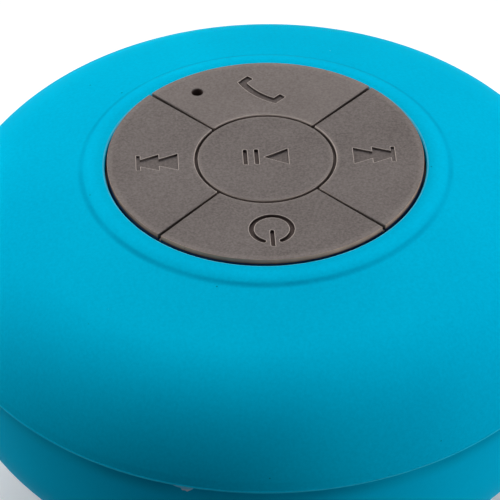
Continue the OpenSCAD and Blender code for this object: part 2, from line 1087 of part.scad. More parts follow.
// Springy disc between coil and basket
module driver_spider() {
    in = coil_r + slide_gap;
    color([0.8, 0.65, 0.3])
        rotate_extrude()
            polygon([[in, spider_z], [in, spider_z + spider_t],
                [in + spider_flat, top_ring_z - slide_gap], [in + spider_w, top_ring_z - slide_gap],
                [in + spider_w, top_ring_z - spider_t],
                [in + spider_flat + spider_bend, top_ring_z - spider_t]]);
}

module driver_top_plate() {
    color(steel)
        washer(gap_r, magnet_r - plate_in, plate_z, plate_z + plate_t);
}

module driver_magnet() {
    color([0.25, 0.25, 0.26])
        washer(gap_r + magnet_gap, magnet_r, plate_z + plate_t, plate_z + plate_t + magnet_t);
}

module driver_yoke() {
    color(steel) {
        rod(magnet_r - plate_in, yoke_top - yoke_t, yoke_top);
        rod(pole_r, plate_z - pole_drop, yoke_top - yoke_t / 2);
    }
}

// Seals, screws and cup

module acoustic_mesh() {
    color(black)
        washer(socket_r + socket_wall + hole_gap, seat_in - hole_gap, floor_z, floor_z + mesh_t);
}

module case_seal() {
    color(black)
        rotate_extrude()
            translate([seal_r, rim_z - groove_h + seal_d / 2 + slide_gap])
                circle(d = seal_d);
}

module case_screws() {
    color(steel)
        round_copies(case_screws_n, case_screw_a, column_x)
            screw(case_head_r, case_head_h, case_screw_r, case_seat_z, case_screw_top - case_seat_z);
}

module suction_cup() {
    color([0.82, 0.88, 0.9, 0.6])
        rotate_extrude() {
            difference() {
                intersection() {
                    translate([0, cup_ball_z])
                        circle(cup_shell);
                    square([cup_d, cup_d]);
                }
                translate([0, cup_ball_z])
                    circle(cup_ball);
            }
            translate([0, cup_depth + cup_t / 2])
                square([neck_r, base_z - seat_gap - cup_depth - cup_t / 2]);
            translate([0, cup_depth + cup_t / 2])
                square([plug_r, base_z + plug_l - cup_depth - cup_t / 2]);
        }
}

upper_sleeve();
upper_frame();
base_shell();
power_key();
call_key();
play_key();
previous_key();
next_key();
power_plunger();
call_plunger();
play_plunger();
previous_plunger();
next_plunger();
switch_bodies();
main_board();
board_chips();
board_screws();
microphone();
microphone_boot();
battery_cell();
battery_tape();
battery_leads();
speaker_leads();
charge_ribbon();
charge_board();
charge_socket();
charge_screws();
port_plug();
plug_anchor();
driver_basket();
driver_gasket();
driver_surround();
driver_cone();
dust_cap();
voice_coil();
driver_spider();
driver_top_plate();
driver_magnet();
driver_yoke();
driver_terminal();
driver_screws();
acoustic_mesh();
case_seal();
case_screws();
suction_cup();
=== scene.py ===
import json
import math

import bmesh
import bpy
from bmesh.types import BMEdge, BMFace, BMVert
from mathutils import Matrix, Vector
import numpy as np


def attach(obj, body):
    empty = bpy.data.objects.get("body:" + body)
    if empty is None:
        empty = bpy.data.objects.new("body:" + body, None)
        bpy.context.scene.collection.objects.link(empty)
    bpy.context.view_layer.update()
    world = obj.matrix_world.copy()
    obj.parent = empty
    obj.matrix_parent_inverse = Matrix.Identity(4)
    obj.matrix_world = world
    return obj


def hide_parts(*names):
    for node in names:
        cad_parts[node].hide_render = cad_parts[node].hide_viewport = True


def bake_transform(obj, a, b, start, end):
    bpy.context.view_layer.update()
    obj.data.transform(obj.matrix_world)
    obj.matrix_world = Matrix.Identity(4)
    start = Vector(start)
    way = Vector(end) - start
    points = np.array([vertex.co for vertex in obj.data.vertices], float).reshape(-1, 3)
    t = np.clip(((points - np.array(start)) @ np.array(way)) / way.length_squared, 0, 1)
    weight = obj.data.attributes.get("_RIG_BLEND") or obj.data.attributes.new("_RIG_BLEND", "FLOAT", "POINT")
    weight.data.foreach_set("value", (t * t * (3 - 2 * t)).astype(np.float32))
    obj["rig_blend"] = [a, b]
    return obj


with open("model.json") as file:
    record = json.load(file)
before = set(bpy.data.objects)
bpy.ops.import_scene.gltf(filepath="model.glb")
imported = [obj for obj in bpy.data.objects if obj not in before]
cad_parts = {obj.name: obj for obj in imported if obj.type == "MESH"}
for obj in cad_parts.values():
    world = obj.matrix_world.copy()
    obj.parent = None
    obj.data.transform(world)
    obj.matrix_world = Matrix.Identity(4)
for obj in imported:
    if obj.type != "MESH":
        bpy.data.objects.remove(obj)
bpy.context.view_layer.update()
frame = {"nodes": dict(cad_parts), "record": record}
cadNodes = frame["nodes"]
scene = bpy.context.scene
mm = 0.001  # sizes below are in millimetres
tiny = 0.0005 * mm  # points closer than this count as one
up = Vector((0, 0, 1))
back = Vector((0, 1, 0))
print("frame loaded:", len(cadNodes), "nodes")


def hexColour(text):
    # sRGB hex to the linear colour that a socket takes
    parts = [int(text[i:i + 2], 16) / 255 for i in (1, 3, 5)]
    return [c / 12.92 if c < 0.04045 else ((c + 0.055) / 1.055) ** 2.4 for c in parts] + [1.0]


def feed(tree, node, inputs):
    # a node stands for its first output; a socket is linked, and anything else is set on the node's input
    for name, value in inputs.items():
        if isinstance(value, bpy.types.Node):
            value = value.outputs[0]
        if isinstance(value, bpy.types.NodeSocket):
            tree.links.new(value, node.inputs[name])
        else:
            node.inputs[name].default_value = value


def addNode(tree, kind, inputs={}, **settings):
    node = tree.nodes.new("ShaderNode" + kind)
    for name, value in settings.items():
        setattr(node, name, value)
    feed(tree, node, inputs)
    return node


def clearTree(owner):
    owner.use_nodes = True
    owner.node_tree.nodes.clear()
    return owner.node_tree


def linkObject(name, data):
    thing = bpy.data.objects.new(name, data)
    scene.collection.objects.link(thing)
    return thing


def turnBy(degrees, axis="Z"):
    return Matrix.Rotation(math.radians(degrees), 4, axis)


def spotAt(x, y, z, turn=0):
    return Matrix.Translation((x * mm, y * mm, z * mm)) @ turnBy(turn)


# the camera stands where the photograph was taken, with a long lens
cameraSet = {
    "place": (-0.041, -328.86, 314.716), "elevation": 39.9098, "azimuth": 0.3623, "roll": -0.7059,
    "lens": 236.312, "sensor": 36, "clip": (10, 20000),
}


def setCamera(look):
    data = bpy.data.cameras.new("photoCamera")
    data.sensor_width = look["sensor"]
    data.lens = look["lens"]
    data.clip_start, data.clip_end = (reach * mm for reach in look["clip"])
    camera = linkObject("photoCamera", data)
    aim = turnBy(look["azimuth"]) @ turnBy(90 - look["elevation"], "X") @ turnBy(look["roll"])
    camera.matrix_world = spotAt(*look["place"]) @ aim
    scene.camera = camera


# soft panels overhead, behind and on the left, with low ones at both sides and in front on the right; each
# looks at a height on the axis
lamps = {
    "overhead": {"place": (0, 160, 700), "aim": 40, "size": (800, 600), "watts": 3.25, "colour": "#EFF5FF"},
    "backPanel": {"place": (0, 500, 560), "aim": 40, "size": (800, 500), "watts": 2.7, "colour": "#FFF9EC"},
    "leftPanel": {"place": (-620, 60, 260), "aim": 30, "size": (500, 500), "watts": 1.95,
                  "colour": "#FFFFFF"},
    "leftLow": {"place": (-640, 40, 90), "aim": 30, "size": (400, 160), "watts": 0.55, "colour": "#FFFFFF"},
    "rightLow": {"place": (640, -120, 90), "aim": 30, "size": (400, 160), "watts": 2.5,
                 "colour": "#FFFFFF"},
    "frontPanel": {"place": (520, -380, 180), "aim": 30, "size": (400, 300), "watts": 0.81,
                   "colour": "#F4F8FF"},
}


def seenRays(tree):
    # 1 for what the eye meets straight on or in a reflection, 0 for light on its way from wall to wall
    path = addNode(tree, "LightPath")
    seen = path.outputs["Is Camera Ray"]
    for kind in ("Is Glossy Ray", "Is Transmission Ray"):
        seen = addNode(tree, "Math", {0: seen, 1: path.outputs[kind]}, operation="ADD", use_clamp=True)
    return seen


def setLight():
    for name, look in lamps.items():
        data = bpy.data.lights.new(name, "AREA")
        data.shape = "RECTANGLE"
        data.size, data.size_y = (side * mm for side in look["size"])
        data.energy = look["watts"]
        data.color = hexColour(look["colour"])[:3]
        lamp = linkObject(name, data)
        lamp.location = Vector(look["place"]) * mm
        sight = up * look["aim"] - Vector(look["place"])
        lamp.rotation_euler = sight.to_track_quat("-Z", "Y").to_euler()
    # a white surround that is seen, but lights nothing
    scene.world = bpy.data.worlds.new("studio")
    tree = clearTree(scene.world)
    white = addNode(tree, "Background", {"Color": hexColour("#FFFFFF"), "Strength": seenRays(tree)})
    addNode(tree, "OutputWorld", {"Surface": white})


# matt paper: white away from the object, takes its shadow, and throws little light back up
floorSet = {
    "half": 3000, "drop": 0.02, "seen": "#F4F6F8", "bounce": "#5E6A76", "roughness": 0.5,
    "glow": 0.2, "near": 150, "far": 700,
}


def setFloor(look):
    material = bpy.data.materials.new("paperSweep")
    tree = clearTree(material)
    bounce, seen = (addNode(tree, "BsdfDiffuse", {
        "Color": hexColour(look[key]), "Roughness": look["roughness"]}) for key in ("bounce", "seen"))
    # the paper gets a painted glow that grows with distance from the object, up to white
    place = addNode(tree, "TexCoord").outputs["Object"]
    far = addNode(tree, "VectorMath", {0: place}, operation="LENGTH")
    lit = addNode(tree, "MapRange", {
        "Value": far.outputs["Value"], "From Min": look["near"] * mm, "From Max": look["far"] * mm,
        "To Min": look["glow"], "To Max": 1.0}, interpolation_type="SMOOTHSTEP")
    glow = addNode(tree, "Emission", {"Color": hexColour("#FFFFFF"), "Strength": lit})
    seen = addNode(tree, "AddShader", {0: seen, 1: glow})
    mixed = addNode(tree, "MixShader", {0: seenRays(tree), 1: bounce, 2: seen})
    # seen through from underneath, so the object can be looked at from there too
    side = addNode(tree, "NewGeometry")
    clear = addNode(tree, "BsdfTransparent")
    mixed = addNode(tree, "MixShader", {0: side.outputs["Backfacing"], 1: mixed, 2: clear})
    addNode(tree, "OutputMaterial", {"Surface": mixed})
    bm = bmesh.new()
    bmesh.ops.create_grid(bm, x_segments=2, y_segments=2, size=look["half"] * mm,
                          matrix=spotAt(0, 0, -look["drop"]))
    mesh = bpy.data.meshes.new("paperSweep")
    bm.to_mesh(mesh)
    bm.free()
    mesh.materials.append(material)
    paper = linkObject("paperSweep", mesh)
    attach(paper, "cup")  # the cup stands on it when it is pulled out too


scene.view_settings.view_transform = "Standard"
setCamera(cameraSet)
setLight()
setFloor(floorSet)
print("camera, light and floor set")


def startMaterial(name):
    material = bpy.data.materials.new(name)
    tree = clearTree(material)
    shader = addNode(tree, "BsdfPrincipled")
    addNode(tree, "OutputMaterial", {"Surface": shader})
    place = addNode(tree, "TexCoord").outputs["Object"]
    return material, tree, shader, place


def perSize(size):
    return 1 / (size * mm)  # pattern scale for a feature of that many millimetres


def perPitch(pitch):
    return math.pi / 10 / (pitch * mm)  # wave scale for bands of that pitch in millimetres


noiseSpan = {"From Min": 0.3, "From Max": 0.7}  # where nearly all of a soft noise lies
speckCore = 0.5  # share of a speck's radius that is at full strength


def addSpecks(tree, place, colour, look):
    # dust and lint: a dot round some of the points of a sparse scatter, drawn out where stretch says so
    laid = addNode(tree, "Mapping", {
        "Vector": place, "Rotation": look["turn"], "Scale": look.get("stretch", (1, 1, 1))})
    scatter = addNode(tree, "TexVoronoi", {
        "Vector": laid, "Scale": perSize(look["cell"]), "Randomness": 1.0}, feature="F1")
    edge = look["size"] / look["cell"]
    dot = addNode(tree, "MapRange", {
        "Value": scatter.outputs["Distance"], "From Min": edge * speckCore, "From Max": edge,
        "To Min": look["strength"], "To Max": 0.0}, interpolation_type="SMOOTHSTEP")
    pick = addNode(tree, "SeparateColor", {"Color": scatter.outputs["Color"]})
    chosen = addNode(tree, "Math", {0: pick, 1: look["share"]}, operation="LESS_THAN")
    mask = addNode(tree, "Math", {0: dot, 1: chosen}, operation="MULTIPLY")
    return addNode(tree, "Mix", {
        0: mask, 6: colour, 7: hexColour(look["colour"])}, data_type="RGBA").outputs[2]


def addEdge(tree, place, colour, look):
    # a soft line, by height or by distance from the axis, where an edge is paler or darker here and there
    if look["by"] == "height":
        reach = addNode(tree, "SeparateXYZ", {0: place}).outputs["Z"]
    else:
        flat = addNode(tree, "VectorMath", {0: place, 1: (1, 1, 0)}, operation="MULTIPLY")
        reach = addNode(tree, "VectorMath", {0: flat}, operation="LENGTH").outputs["Value"]
    away = addNode(tree, "Math", {0: reach, 1: look["at"] * mm}, operation="SUBTRACT")
    away = addNode(tree, "Math", {0: away}, operation="ABSOLUTE")
    half = look["half"] * mm
    line = addNode(tree, "MapRange", {
        "Value": away, "From Min": half * look["core"], "From Max": half,
        "To Min": look["strength"], "To Max": 0.0}, interpolation_type="SMOOTHSTEP")
    broken = addNode(tree, "TexNoise", {"Vector": place, "Scale": perSize(look["breaks"])})
    mask = addNode(tree, "Math", {0: line, 1: broken}, operation="MULTIPLY")
    return addNode(tree, "Mix", {
        0: mask, 6: colour, 7: hexColour(look["colour"])}, data_type="RGBA").outputs[2]


def addShade(tree, colour, look):
    # the piece's own shade attribute: above 0 a painted shade for what is sunk, below 0 paler for torn flash
    # and for painted highlights on rims and edges, and above 1 a painted shade with the blue light of the
    # cover in it, for what lies deep in a gap
    shade = addNode(tree, "Attribute", attribute_name="shade").outputs["Fac"]
    for key, start, end in (("sunk", 0.0, 1.0), ("wearAndHighlight", 0.0, -1.0), ("cast", 1.0, 2.0)):
        if key in look:
            mask = addNode(tree, "MapRange", {"Value": shade, "From Min": start, "From Max": end})
            colour = addNode(tree, "Mix", {
                0: mask, 6: colour, 7: hexColour(look[key])}, data_type="RGBA").outputs[2]
    return colour


def mouldedFinish(name, look):
    # a moulded skin: tone drifts slowly, and a fine grain breaks up the gloss
    material, tree, shader, place = startMaterial(name)
    if "stretch" in look:
        place = addNode(tree, "Mapping", {"Vector": place, "Scale": look["stretch"]})
    drift = addNode(tree, "TexNoise", {
        "Vector": place, "Scale": perSize(look["driftSize"]), "Detail": 2.0})
    grain = addNode(tree, "TexNoise", {
        "Vector": place, "Scale": perSize(look["grainSize"]), "Detail": 2.0, "Roughness": 0.6})
    tone = addNode(tree, "Mix", {0: look["grainTone"], 2: drift, 3: grain}, data_type="FLOAT")
    tone = addNode(tree, "MapRange", {"Value": tone, **noiseSpan})
    colour = addNode(tree, "Mix", {
        0: tone, 6: hexColour(look["deep"]), 7: hexColour(look["fair"])}, data_type="RGBA").outputs[2]
    for edge in look.get("edges", []):
        colour = addEdge(tree, place, colour, edge)
    if "shade" in look:
        colour = addShade(tree, colour, look["shade"])
    for specks in look.get("specks", []):
        colour = addSpecks(tree, place, colour, specks)
    low, high = look["roughness"]
    gloss = addNode(tree, "MapRange", {"Value": grain, **noiseSpan, "To Min": low, "To Max": high})
    bump = addNode(tree, "Bump", {
        "Height": grain, "Distance": look["grainHeight"] * mm, "Strength": 1.0})
    feed(tree, shader, {"Base Color": colour, "Roughness": gloss, "Normal": bump, **look["sockets"]})
    return material


# silicone rubber, compression moulded in a blasted tool: flat, saturated colour with hardly any glare, a
# painted highlight along the flash at the lip and round the edge of the hole, a ring with painted light
# on its crown and painted shade at its foot, and a little dust. Its grain of about 0.05 mm is drawn at
# 0.4 mm, or it would not show.
coverLook = {
    "deep": "#00A8CE", "fair": "#00BADE", "driftSize": 26, "grainSize": 0.4, "grainTone": 0.5,
    "grainHeight": 0.006, "roughness": (0.5, 0.68),
    "sockets": {"IOR": 1.41, "Specular IOR Level": 0.008, "Specular Tint": hexColour("#40D8FF")},
    "shade": {"sunk": "#005C78", "wearAndHighlight": "#AEB4BE"},
    "edges": [
        # painted highlight along the flash at the lip
        {"by": "height", "at": 37.24, "half": 0.1, "core": 0.4, "breaks": 6,
         "strength": 0.5, "colour": "#54BEC4"},
        # painted highlight on the edge of the hole
        {"by": "radius", "at": 20.72, "half": 0.14, "core": 0.4, "breaks": 3,
         "strength": 0.4, "colour": "#A4DDE8"},
        # painted shade in the crease at the foot of the ring
        {"by": "radius", "at": 23.65, "half": 0.55, "core": 0.1, "breaks": 9,
         "strength": 0.7, "colour": "#007DA3"},
        # painted light on the crown of the ring, which faces up
        {"by": "radius", "at": 22.3, "half": 1.0, "core": 0.2, "breaks": 12,
         "strength": 0.2, "colour": "#00D3FF"},
    ],
    "specks": [
        {"colour": "#05586B", "cell": 3.4, "size": 0.16, "share": 0.5, "strength": 0.7,
         "turn": (0.3, 0.2, 0.4)},
        {"colour": "#A8E2EE", "cell": 4.2, "size": 0.12, "share": 0.5, "strength": 0.5,
         "turn": (1.1, 0.7, 0.2)},
    ],
}

# ABS of the same colour, injection moulded with a spark finish: a touch more even and more glossy than the
# rubber, with a painted shadow where it goes in under the lip
baseLook = {
    "deep": "#00A6CB", "fair": "#00B2D8", "driftSize": 30, "grainSize": 0.4, "grainTone": 0.25,
    "grainHeight": 0.008, "roughness": (0.42, 0.55),
    "sockets": {"IOR": 1.53, "Specular IOR Level": 0.008, "Specular Tint": hexColour("#40D8FF")},
    # painted shadow on the wall under the lip
    "edges": [{"by": "height", "at": 36.5, "half": 2.8, "core": 0.05, "breaks": 14,
               "strength": 0.75, "colour": "#00566E"}],
}

# silicone rubber again, pigmented taupe: dull, with a sandy grain, paler near its outer edge, and pale lint
# caught on it. Shade is painted into its gaps, symbols and mic hole, and light onto their rims, the top of
# the outer wall and the edges of the groove round the middle key
keyLook = {
    "deep": "#5A524F", "fair": "#7B7370", "driftSize": 9, "grainSize": 0.3, "grainTone": 0.75,
    "grainHeight": 0.012, "roughness": (0.6, 0.8),
    # painted shade for what is sunk or deep in a gap, and painted highlight for rims and edges
    "shade": {"sunk": "#32231F", "wearAndHighlight": "#B9ACA4", "cast": "#21466A"},
    "sockets": {"IOR": 1.41, "Specular IOR Level": 0.15},
    "edges": [
        # painted highlight along the groove round the middle key
        {"by": "radius", "at": 8.87, "half": 0.8, "core": 0.45, "breaks": 5,
         "strength": 0.24, "colour": "#B9ACA4"},
        {"by": "radius", "at": 19.95, "half": 0.6, "core": 0.2, "breaks": 5,
         "strength": 0.2, "colour": "#B9ACA4"},
        # painted light on the top of the outer wall
        {"by": "radius", "at": 20.25, "half": 0.05, "core": 0.6, "breaks": 4,
         "strength": 1.5, "colour": "#BEA08C"},
    ],
    "specks": [
        {"colour": "#A39C98", "cell": 3.0, "size": 0.14, "share": 0.55, "strength": 0.6,
         "turn": (0.2, 0.1, 0.9), "stretch": (1, 0.3, 1)},
        {"colour": "#4A4340", "cell": 2.6, "size": 0.1, "share": 0.4, "strength": 0.7,
         "turn": (0.5, 0.3, 0.1)},
    ],
}

coverRubber = mouldedFinish("siliconeCyanMoulded", coverLook)
basePlastic = mouldedFinish("absCyanMoulded", baseLook)
keyRubber = mouldedFinish("siliconeTaupeMoulded", keyLook)

# soft PVC, injection moulded and clear: lets light through with a slight blue cast and a few flow marks
vinylLook = {
    "flowSize": 7, "flowHeight": 0.05, "flowStrength": 0.6, "roughness": (0.08, 0.2),
    "sockets": {"Base Color": hexColour("#E3F1F4"), "Transmission Weight": 0.85, "IOR": 1.53},
}


def vinylFinish(name, look):
    material, tree, shader, place = startMaterial(name)
    flow = addNode(tree, "TexNoise", {
        "Vector": place, "Scale": perSize(look["flowSize"]), "Detail": 3.0, "Distortion": 0.6})
    low, high = look["roughness"]
    gloss = addNode(tree, "MapRange", {"Value": flow, **noiseSpan, "To Min": low, "To Max": high})
    bump = addNode(tree, "Bump", {
        "Height": flow, "Distance": look["flowHeight"] * mm, "Strength": look["flowStrength"]})
    feed(tree, shader, {"Roughness": gloss, "Normal": bump, **look["sockets"]})
    return material


cupVinyl = vinylFinish("pvcClearMoulded", vinylLook)
print("outer materials made")


def only(kind, made):
    return [part for part in made["geom"] if isinstance(part, kind)]


def allParts(bm):
    return bm.verts[:] + bm.edges[:] + bm.faces[:]


def faceOut(bm):
    bmesh.ops.recalc_face_normals(bm, faces=bm.faces[:])


def weld(bm, near=tiny):
    bmesh.ops.remove_doubles(bm, verts=bm.verts[:], dist=near)


def soften(bm, geom, radius, steps=3, what="EDGES"):
    bmesh.ops.bevel(bm, geom=geom, offset=radius * mm, offset_type="OFFSET", segments=steps, profile=0.5,
                    affect=what, material=-1)


def spinRound(bm, geom, degrees, steps, **how):
    bmesh.ops.spin(bm, geom=geom, cent=(0, 0, 0), axis=(0, 0, 1), dvec=(0, 0, 0),
                   angle=math.radians(degrees), steps=steps, **how)


def turnAll(bm, degrees):
    bmesh.ops.rotate(bm, cent=(0, 0, 0), matrix=turnBy(degrees).to_3x3(), verts=bm.verts[:])


def traceProfile(bm, start, moves):
    # a section in the XZ plane: a move of two numbers is a line to that point, a third number rounds the
    # corner there, and four are an arc with its centre, angle (clockwise if above 0) and steps
    first = tip = bm.verts.new((start[0] * mm, 0, start[1] * mm))
    soft = []
    for x, z, *more in moves:
        if len(more) == 2:
            swept = bmesh.ops.spin(bm, geom=[tip], cent=(x * mm, 0, z * mm), axis=(0, 1, 0), dvec=(0, 0, 0),
                                   angle=math.radians(more[0]), steps=more[1], use_merge=False)
            tip = swept["geom_last"][0]
            continue
        tip = bmesh.ops.extrude_vert_indiv(bm, verts=[tip])["verts"][0]
        tip.co = (x * mm, 0, z * mm)
        if more:
            soft.append((tip, more[0]))
    for corner, radius in soft:
        soften(bm, [corner], radius, steps=5, what="VERTICES")
    return first, tip


def traceClosed(bm, start, moves):
    bmesh.ops.contextual_create(bm, geom=list(traceProfile(bm, start, moves)))


def latheProfile(bm, steps):
    spinRound(bm, bm.verts[:] + bm.edges[:], 360, steps, use_merge=True)
    weld(bm)
    faceOut(bm)


def finishPiece(bm, name, body, material, replaced, sharpAngle=40):
    mesh = bpy.data.meshes.new(name)
    bm.to_mesh(mesh)
    bm.free()
    mesh.materials.append(material)
    mesh.shade_smooth()
    mesh.set_sharp_from_angle(angle=math.radians(sharpAngle))
    piece = linkObject(name, mesh)
    # keeps flat faces flat beside their round edges
    even = piece.modifiers.new("evenShade", "WEIGHTED_NORMAL")
    even.keep_sharp = True
    if isinstance(body, str):
        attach(piece, body)
    else:
        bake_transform(piece, *body)  # two bodies, and where it changes from one to the other
    if replaced:
        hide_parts(*replaced)
    print(name, "made,", len(mesh.polygons), "faces")


# rubber cover: raised ring with a crown, dome, shoulder, a lip with a fine flash, and the hem turned under
# the frame
cover = {
    "holeRadius": 20.55, "holeRound": 0.3, "ringTop": 54.4, "ringFoot": 23.8, "ringFillet": 0.3,
    "ringClear": 0.8,
    "ringCrown": ((21.0, 54.4, 0.2), (21.7, 54.36, 0.25), (22.3, 54.28, 0.25), (22.85, 54.15, 0.25),
                  (23.37, 53.95, 0.16)),
    "crownRadius": 112.4, "crownCentre": -56.187, "jointAngle": 16.794, "crownSteps": 10,
    "shoulderCentre": (28.2, 37.25), "shoulderRadius": 14.8, "shoulderShort": 5, "shoulderSteps": 36,
    "flash": 0.12, "flashTop": 37.4, "flashLow": 37.28, "flashRounds": (0.03, 0.04), "lipLow": 37.1,
    "lipRound": 0.08, "hemInner": 40.2, "hemTop": 38.05, "hemRound": 0.2, "hemSteps": 24,
    "thickness": 1.5, "steps": 288,
}


def makeCover(look):
    crown, crownZ, joint = look["crownRadius"], look["crownCentre"], look["jointAngle"]
    bendX, bendZ = look["shoulderCentre"]
    bend, wall = look["shoulderRadius"], look["thickness"]
    hole, ringTop, hemTop = look["holeRadius"], look["ringTop"], look["hemTop"]
    holeInner = crownZ + math.sqrt((crown - wall) ** 2 - hole ** 2)
    startX = look["ringFoot"] + look["ringClear"]  # the crown's arc starts clear of the ring's fillet
    startAngle = math.degrees(math.asin(startX / crown))
    hemX = bendX + math.sqrt((bend - wall) ** 2 - (hemTop - bendZ) ** 2)
    hemAngle = math.degrees(math.atan2(hemTop - bendZ, hemX - bendX))
    holeAngle = math.degrees(math.asin(hole / (crown - wall)))
    edge = bendX + bend

    def crownHeight(x):
        return crownZ + math.sqrt(crown ** 2 - x ** 2)

    bm = bmesh.new()
    traceClosed(bm, (hole, (holeInner + ringTop) / 2), [
        (hole, ringTop, look["holeRound"]),
        *look["ringCrown"],
        (look["ringFoot"], crownHeight(look["ringFoot"]), look["ringFillet"]),
        (startX, crownHeight(startX)),
        (0, crownZ, joint - startAngle, look["crownSteps"]),
        (bendX, bendZ, 90 - joint - look["shoulderShort"], look["shoulderSteps"]),
        (edge - look["flash"], look["flashTop"], look["flashRounds"][0]),
        (edge, look["flashLow"], look["flashRounds"][1]),
        (edge, look["lipLow"], look["lipRound"]),
        (look["hemInner"], look["lipLow"], look["hemRound"]),
        (look["hemInner"], hemTop),
        (hemX, hemTop),
        (bendX, bendZ, -(90 - joint - hemAngle), look["hemSteps"]),
        (0, crownZ, -(joint - holeAngle), look["crownSteps"]),
    ])
    latheProfile(bm, look["steps"])
    finishPiece(bm, "coverSkin", "housing", coverRubber, ["upper_sleeve"])


makeCover(cover)

# a flake of flash left torn on the lip, palest below the tear
nib = {
    "azimuth": 256.1, "reach": 42.93, "thick": 0.09, "lean": 8, "root": 37.2, "tear": 36.9,
    "paleTip": -1.0, "paleRoot": -0.3, "start": (-1.25, 37.2), "moves": [
        (-0.75, 37.02, 0.05), (-0.3, 36.98, 0.05), (-0.12, 36.66, 0.06), (0.25, 36.72, 0.05),
        (0.5, 36.58, 0.06), (0.82, 36.8, 0.05), (1.15, 36.98, 0.05), (1.3, 37.2)],
}


def makeNib(look):
    bm = bmesh.new()
    traceClosed(bm, look["start"], look["moves"])
    flake = bmesh.ops.contextual_create(bm, geom=bm.edges[:])["faces"]
    grown = bmesh.ops.extrude_face_region(bm, geom=flake, use_keep_orig=True)
    bmesh.ops.translate(bm, vec=(0, -look["thick"] * mm, 0), verts=only(BMVert, grown))
    faceOut(bm)
    shade = bm.verts.layers.float.new("shade")
    for v in bm.verts:
        v[shade] = look["paleTip"] if v.co.z < look["tear"] * mm else look["paleRoot"]
    spot = turnBy(look["azimuth"] + 90) @ spotAt(0, -look["reach"], look["root"])
    spot @= turnBy(-look["lean"], "X") @ spotAt(0, 0, -look["root"])
    bmesh.ops.transform(bm, matrix=spot, verts=bm.verts[:])
    finishPiece(bm, "lipNib", "housing", coverRubber, [])


makeNib(nib)

# suction cup: two ball faces, a flat rim, and a neck with a plug that sits in the base
cup = {
    "ballCentre": -40.24, "innerBall": 48.74, "outerBall": 50.918, "ballSteps": 24,
    "rimInner": 27.5, "rimOuter": 31.2, "rimRound": 0.3, "innerShort": 0.6, "outerShort": 1,
    "neckRadius": 9.0, "neckReach": 2.5, "neckTop": 15.15, "neckFillet": 1.4, "neckRound": 0.3,
    "plugRadius": 7.5, "plugTop": 20.05, "plugRound": 0.6, "steps": 192,
}


def makeCup(look):
    z, inner, outer, neck = look["ballCentre"], look["innerBall"], look["outerBall"], look["neckRadius"]
    innerAngle = math.degrees(math.asin(look["rimInner"] / inner)) - look["innerShort"]
    rimAngle = math.degrees(math.asin(look["rimOuter"] / outer)) - look["outerShort"]
    neckAngle = math.degrees(math.asin((neck + look["neckReach"]) / outer))
    rim = math.radians(rimAngle)
    bm = bmesh.new()
    traceProfile(bm, (0, z + inner), [
        (0, z, innerAngle, look["ballSteps"]),
        (look["rimInner"], 0, look["rimRound"]),
        (look["rimOuter"], 0, look["rimRound"]),
        (outer * math.sin(rim), z + outer * math.cos(rim)),
        (0, z, neckAngle - rimAngle, look["ballSteps"]),
        (neck, z + math.sqrt(outer ** 2 - neck ** 2), look["neckFillet"]),
        (neck, look["neckTop"], look["neckRound"]),
        (look["plugRadius"], look["neckTop"]),
        (look["plugRadius"], look["plugTop"], look["plugRound"]),
        (0, look["plugTop"]),
    ])
    latheProfile(bm, look["steps"])
    finishPiece(bm, "cupVinyl", "cup", cupVinyl, ["suction_cup"])


makeCup(cup)

# keys: one middle key and four quarter keys, each with its stem and collar, sunk symbols and softened
# edges. Their walls get painted shade by height, darkest at the bottom of a gap, and painted highlight at
# the edge of a groove.
keypad = {
    "radius": 20.25, "middleRadius": 8.65, "quarterInner": 9.08, "halfGap": 0.19, "top": 55.0, "low": 52.4,
    "edgeLow": 54.52, "gapTop": 54.36, "castTop": 54.25, "grooveTop": 54.68,
    "outerRound": 0.07, "innerRound": 0.18, "grooveRound": 0.14, "turn": 3.0, "weld": 0.003,
    "sweep": 96, "sweepSteps": 42, "middleSteps": 96, "roundSteps": 32,
    "switchX": 14.2, "stemRadius": 1.6, "stemLow": 48.3,
    "collarRadius": 2.5, "collarTop": 49.9, "collarLow": 48.9,
    # symbols: painted highlight on the rim, painted shade on the wall and floor
    "rimWide": 0.12, "rimDeep": 0.03, "rimHighlight": 0.95,
    "wallStep": 0.01, "wallDark": 0.5, "floorInset": 0.015,
    # painted shade down the walls by height, and painted highlight on the groove rims
    "edgeShade": ((54.25, 2.0), (54.36, 0.68), (54.52, 0.38), (54.68, 0.12), (54.97, 0.0)),
    "grooveShade": ((54.52, 0.15), (54.68, 0.35), (54.97, -1.0)),
    "edgeBand": 0.2, "shadeReach": 0.005, "sideDark": 0.55, "sideFrom": 0.55,
    "micPlace": (-8.11, 14.4), "micRim": 0.82, "micRadius": 0.7, "micDish": 0.15,
    "micDark": 0.9, "micReach": 0.75,
}
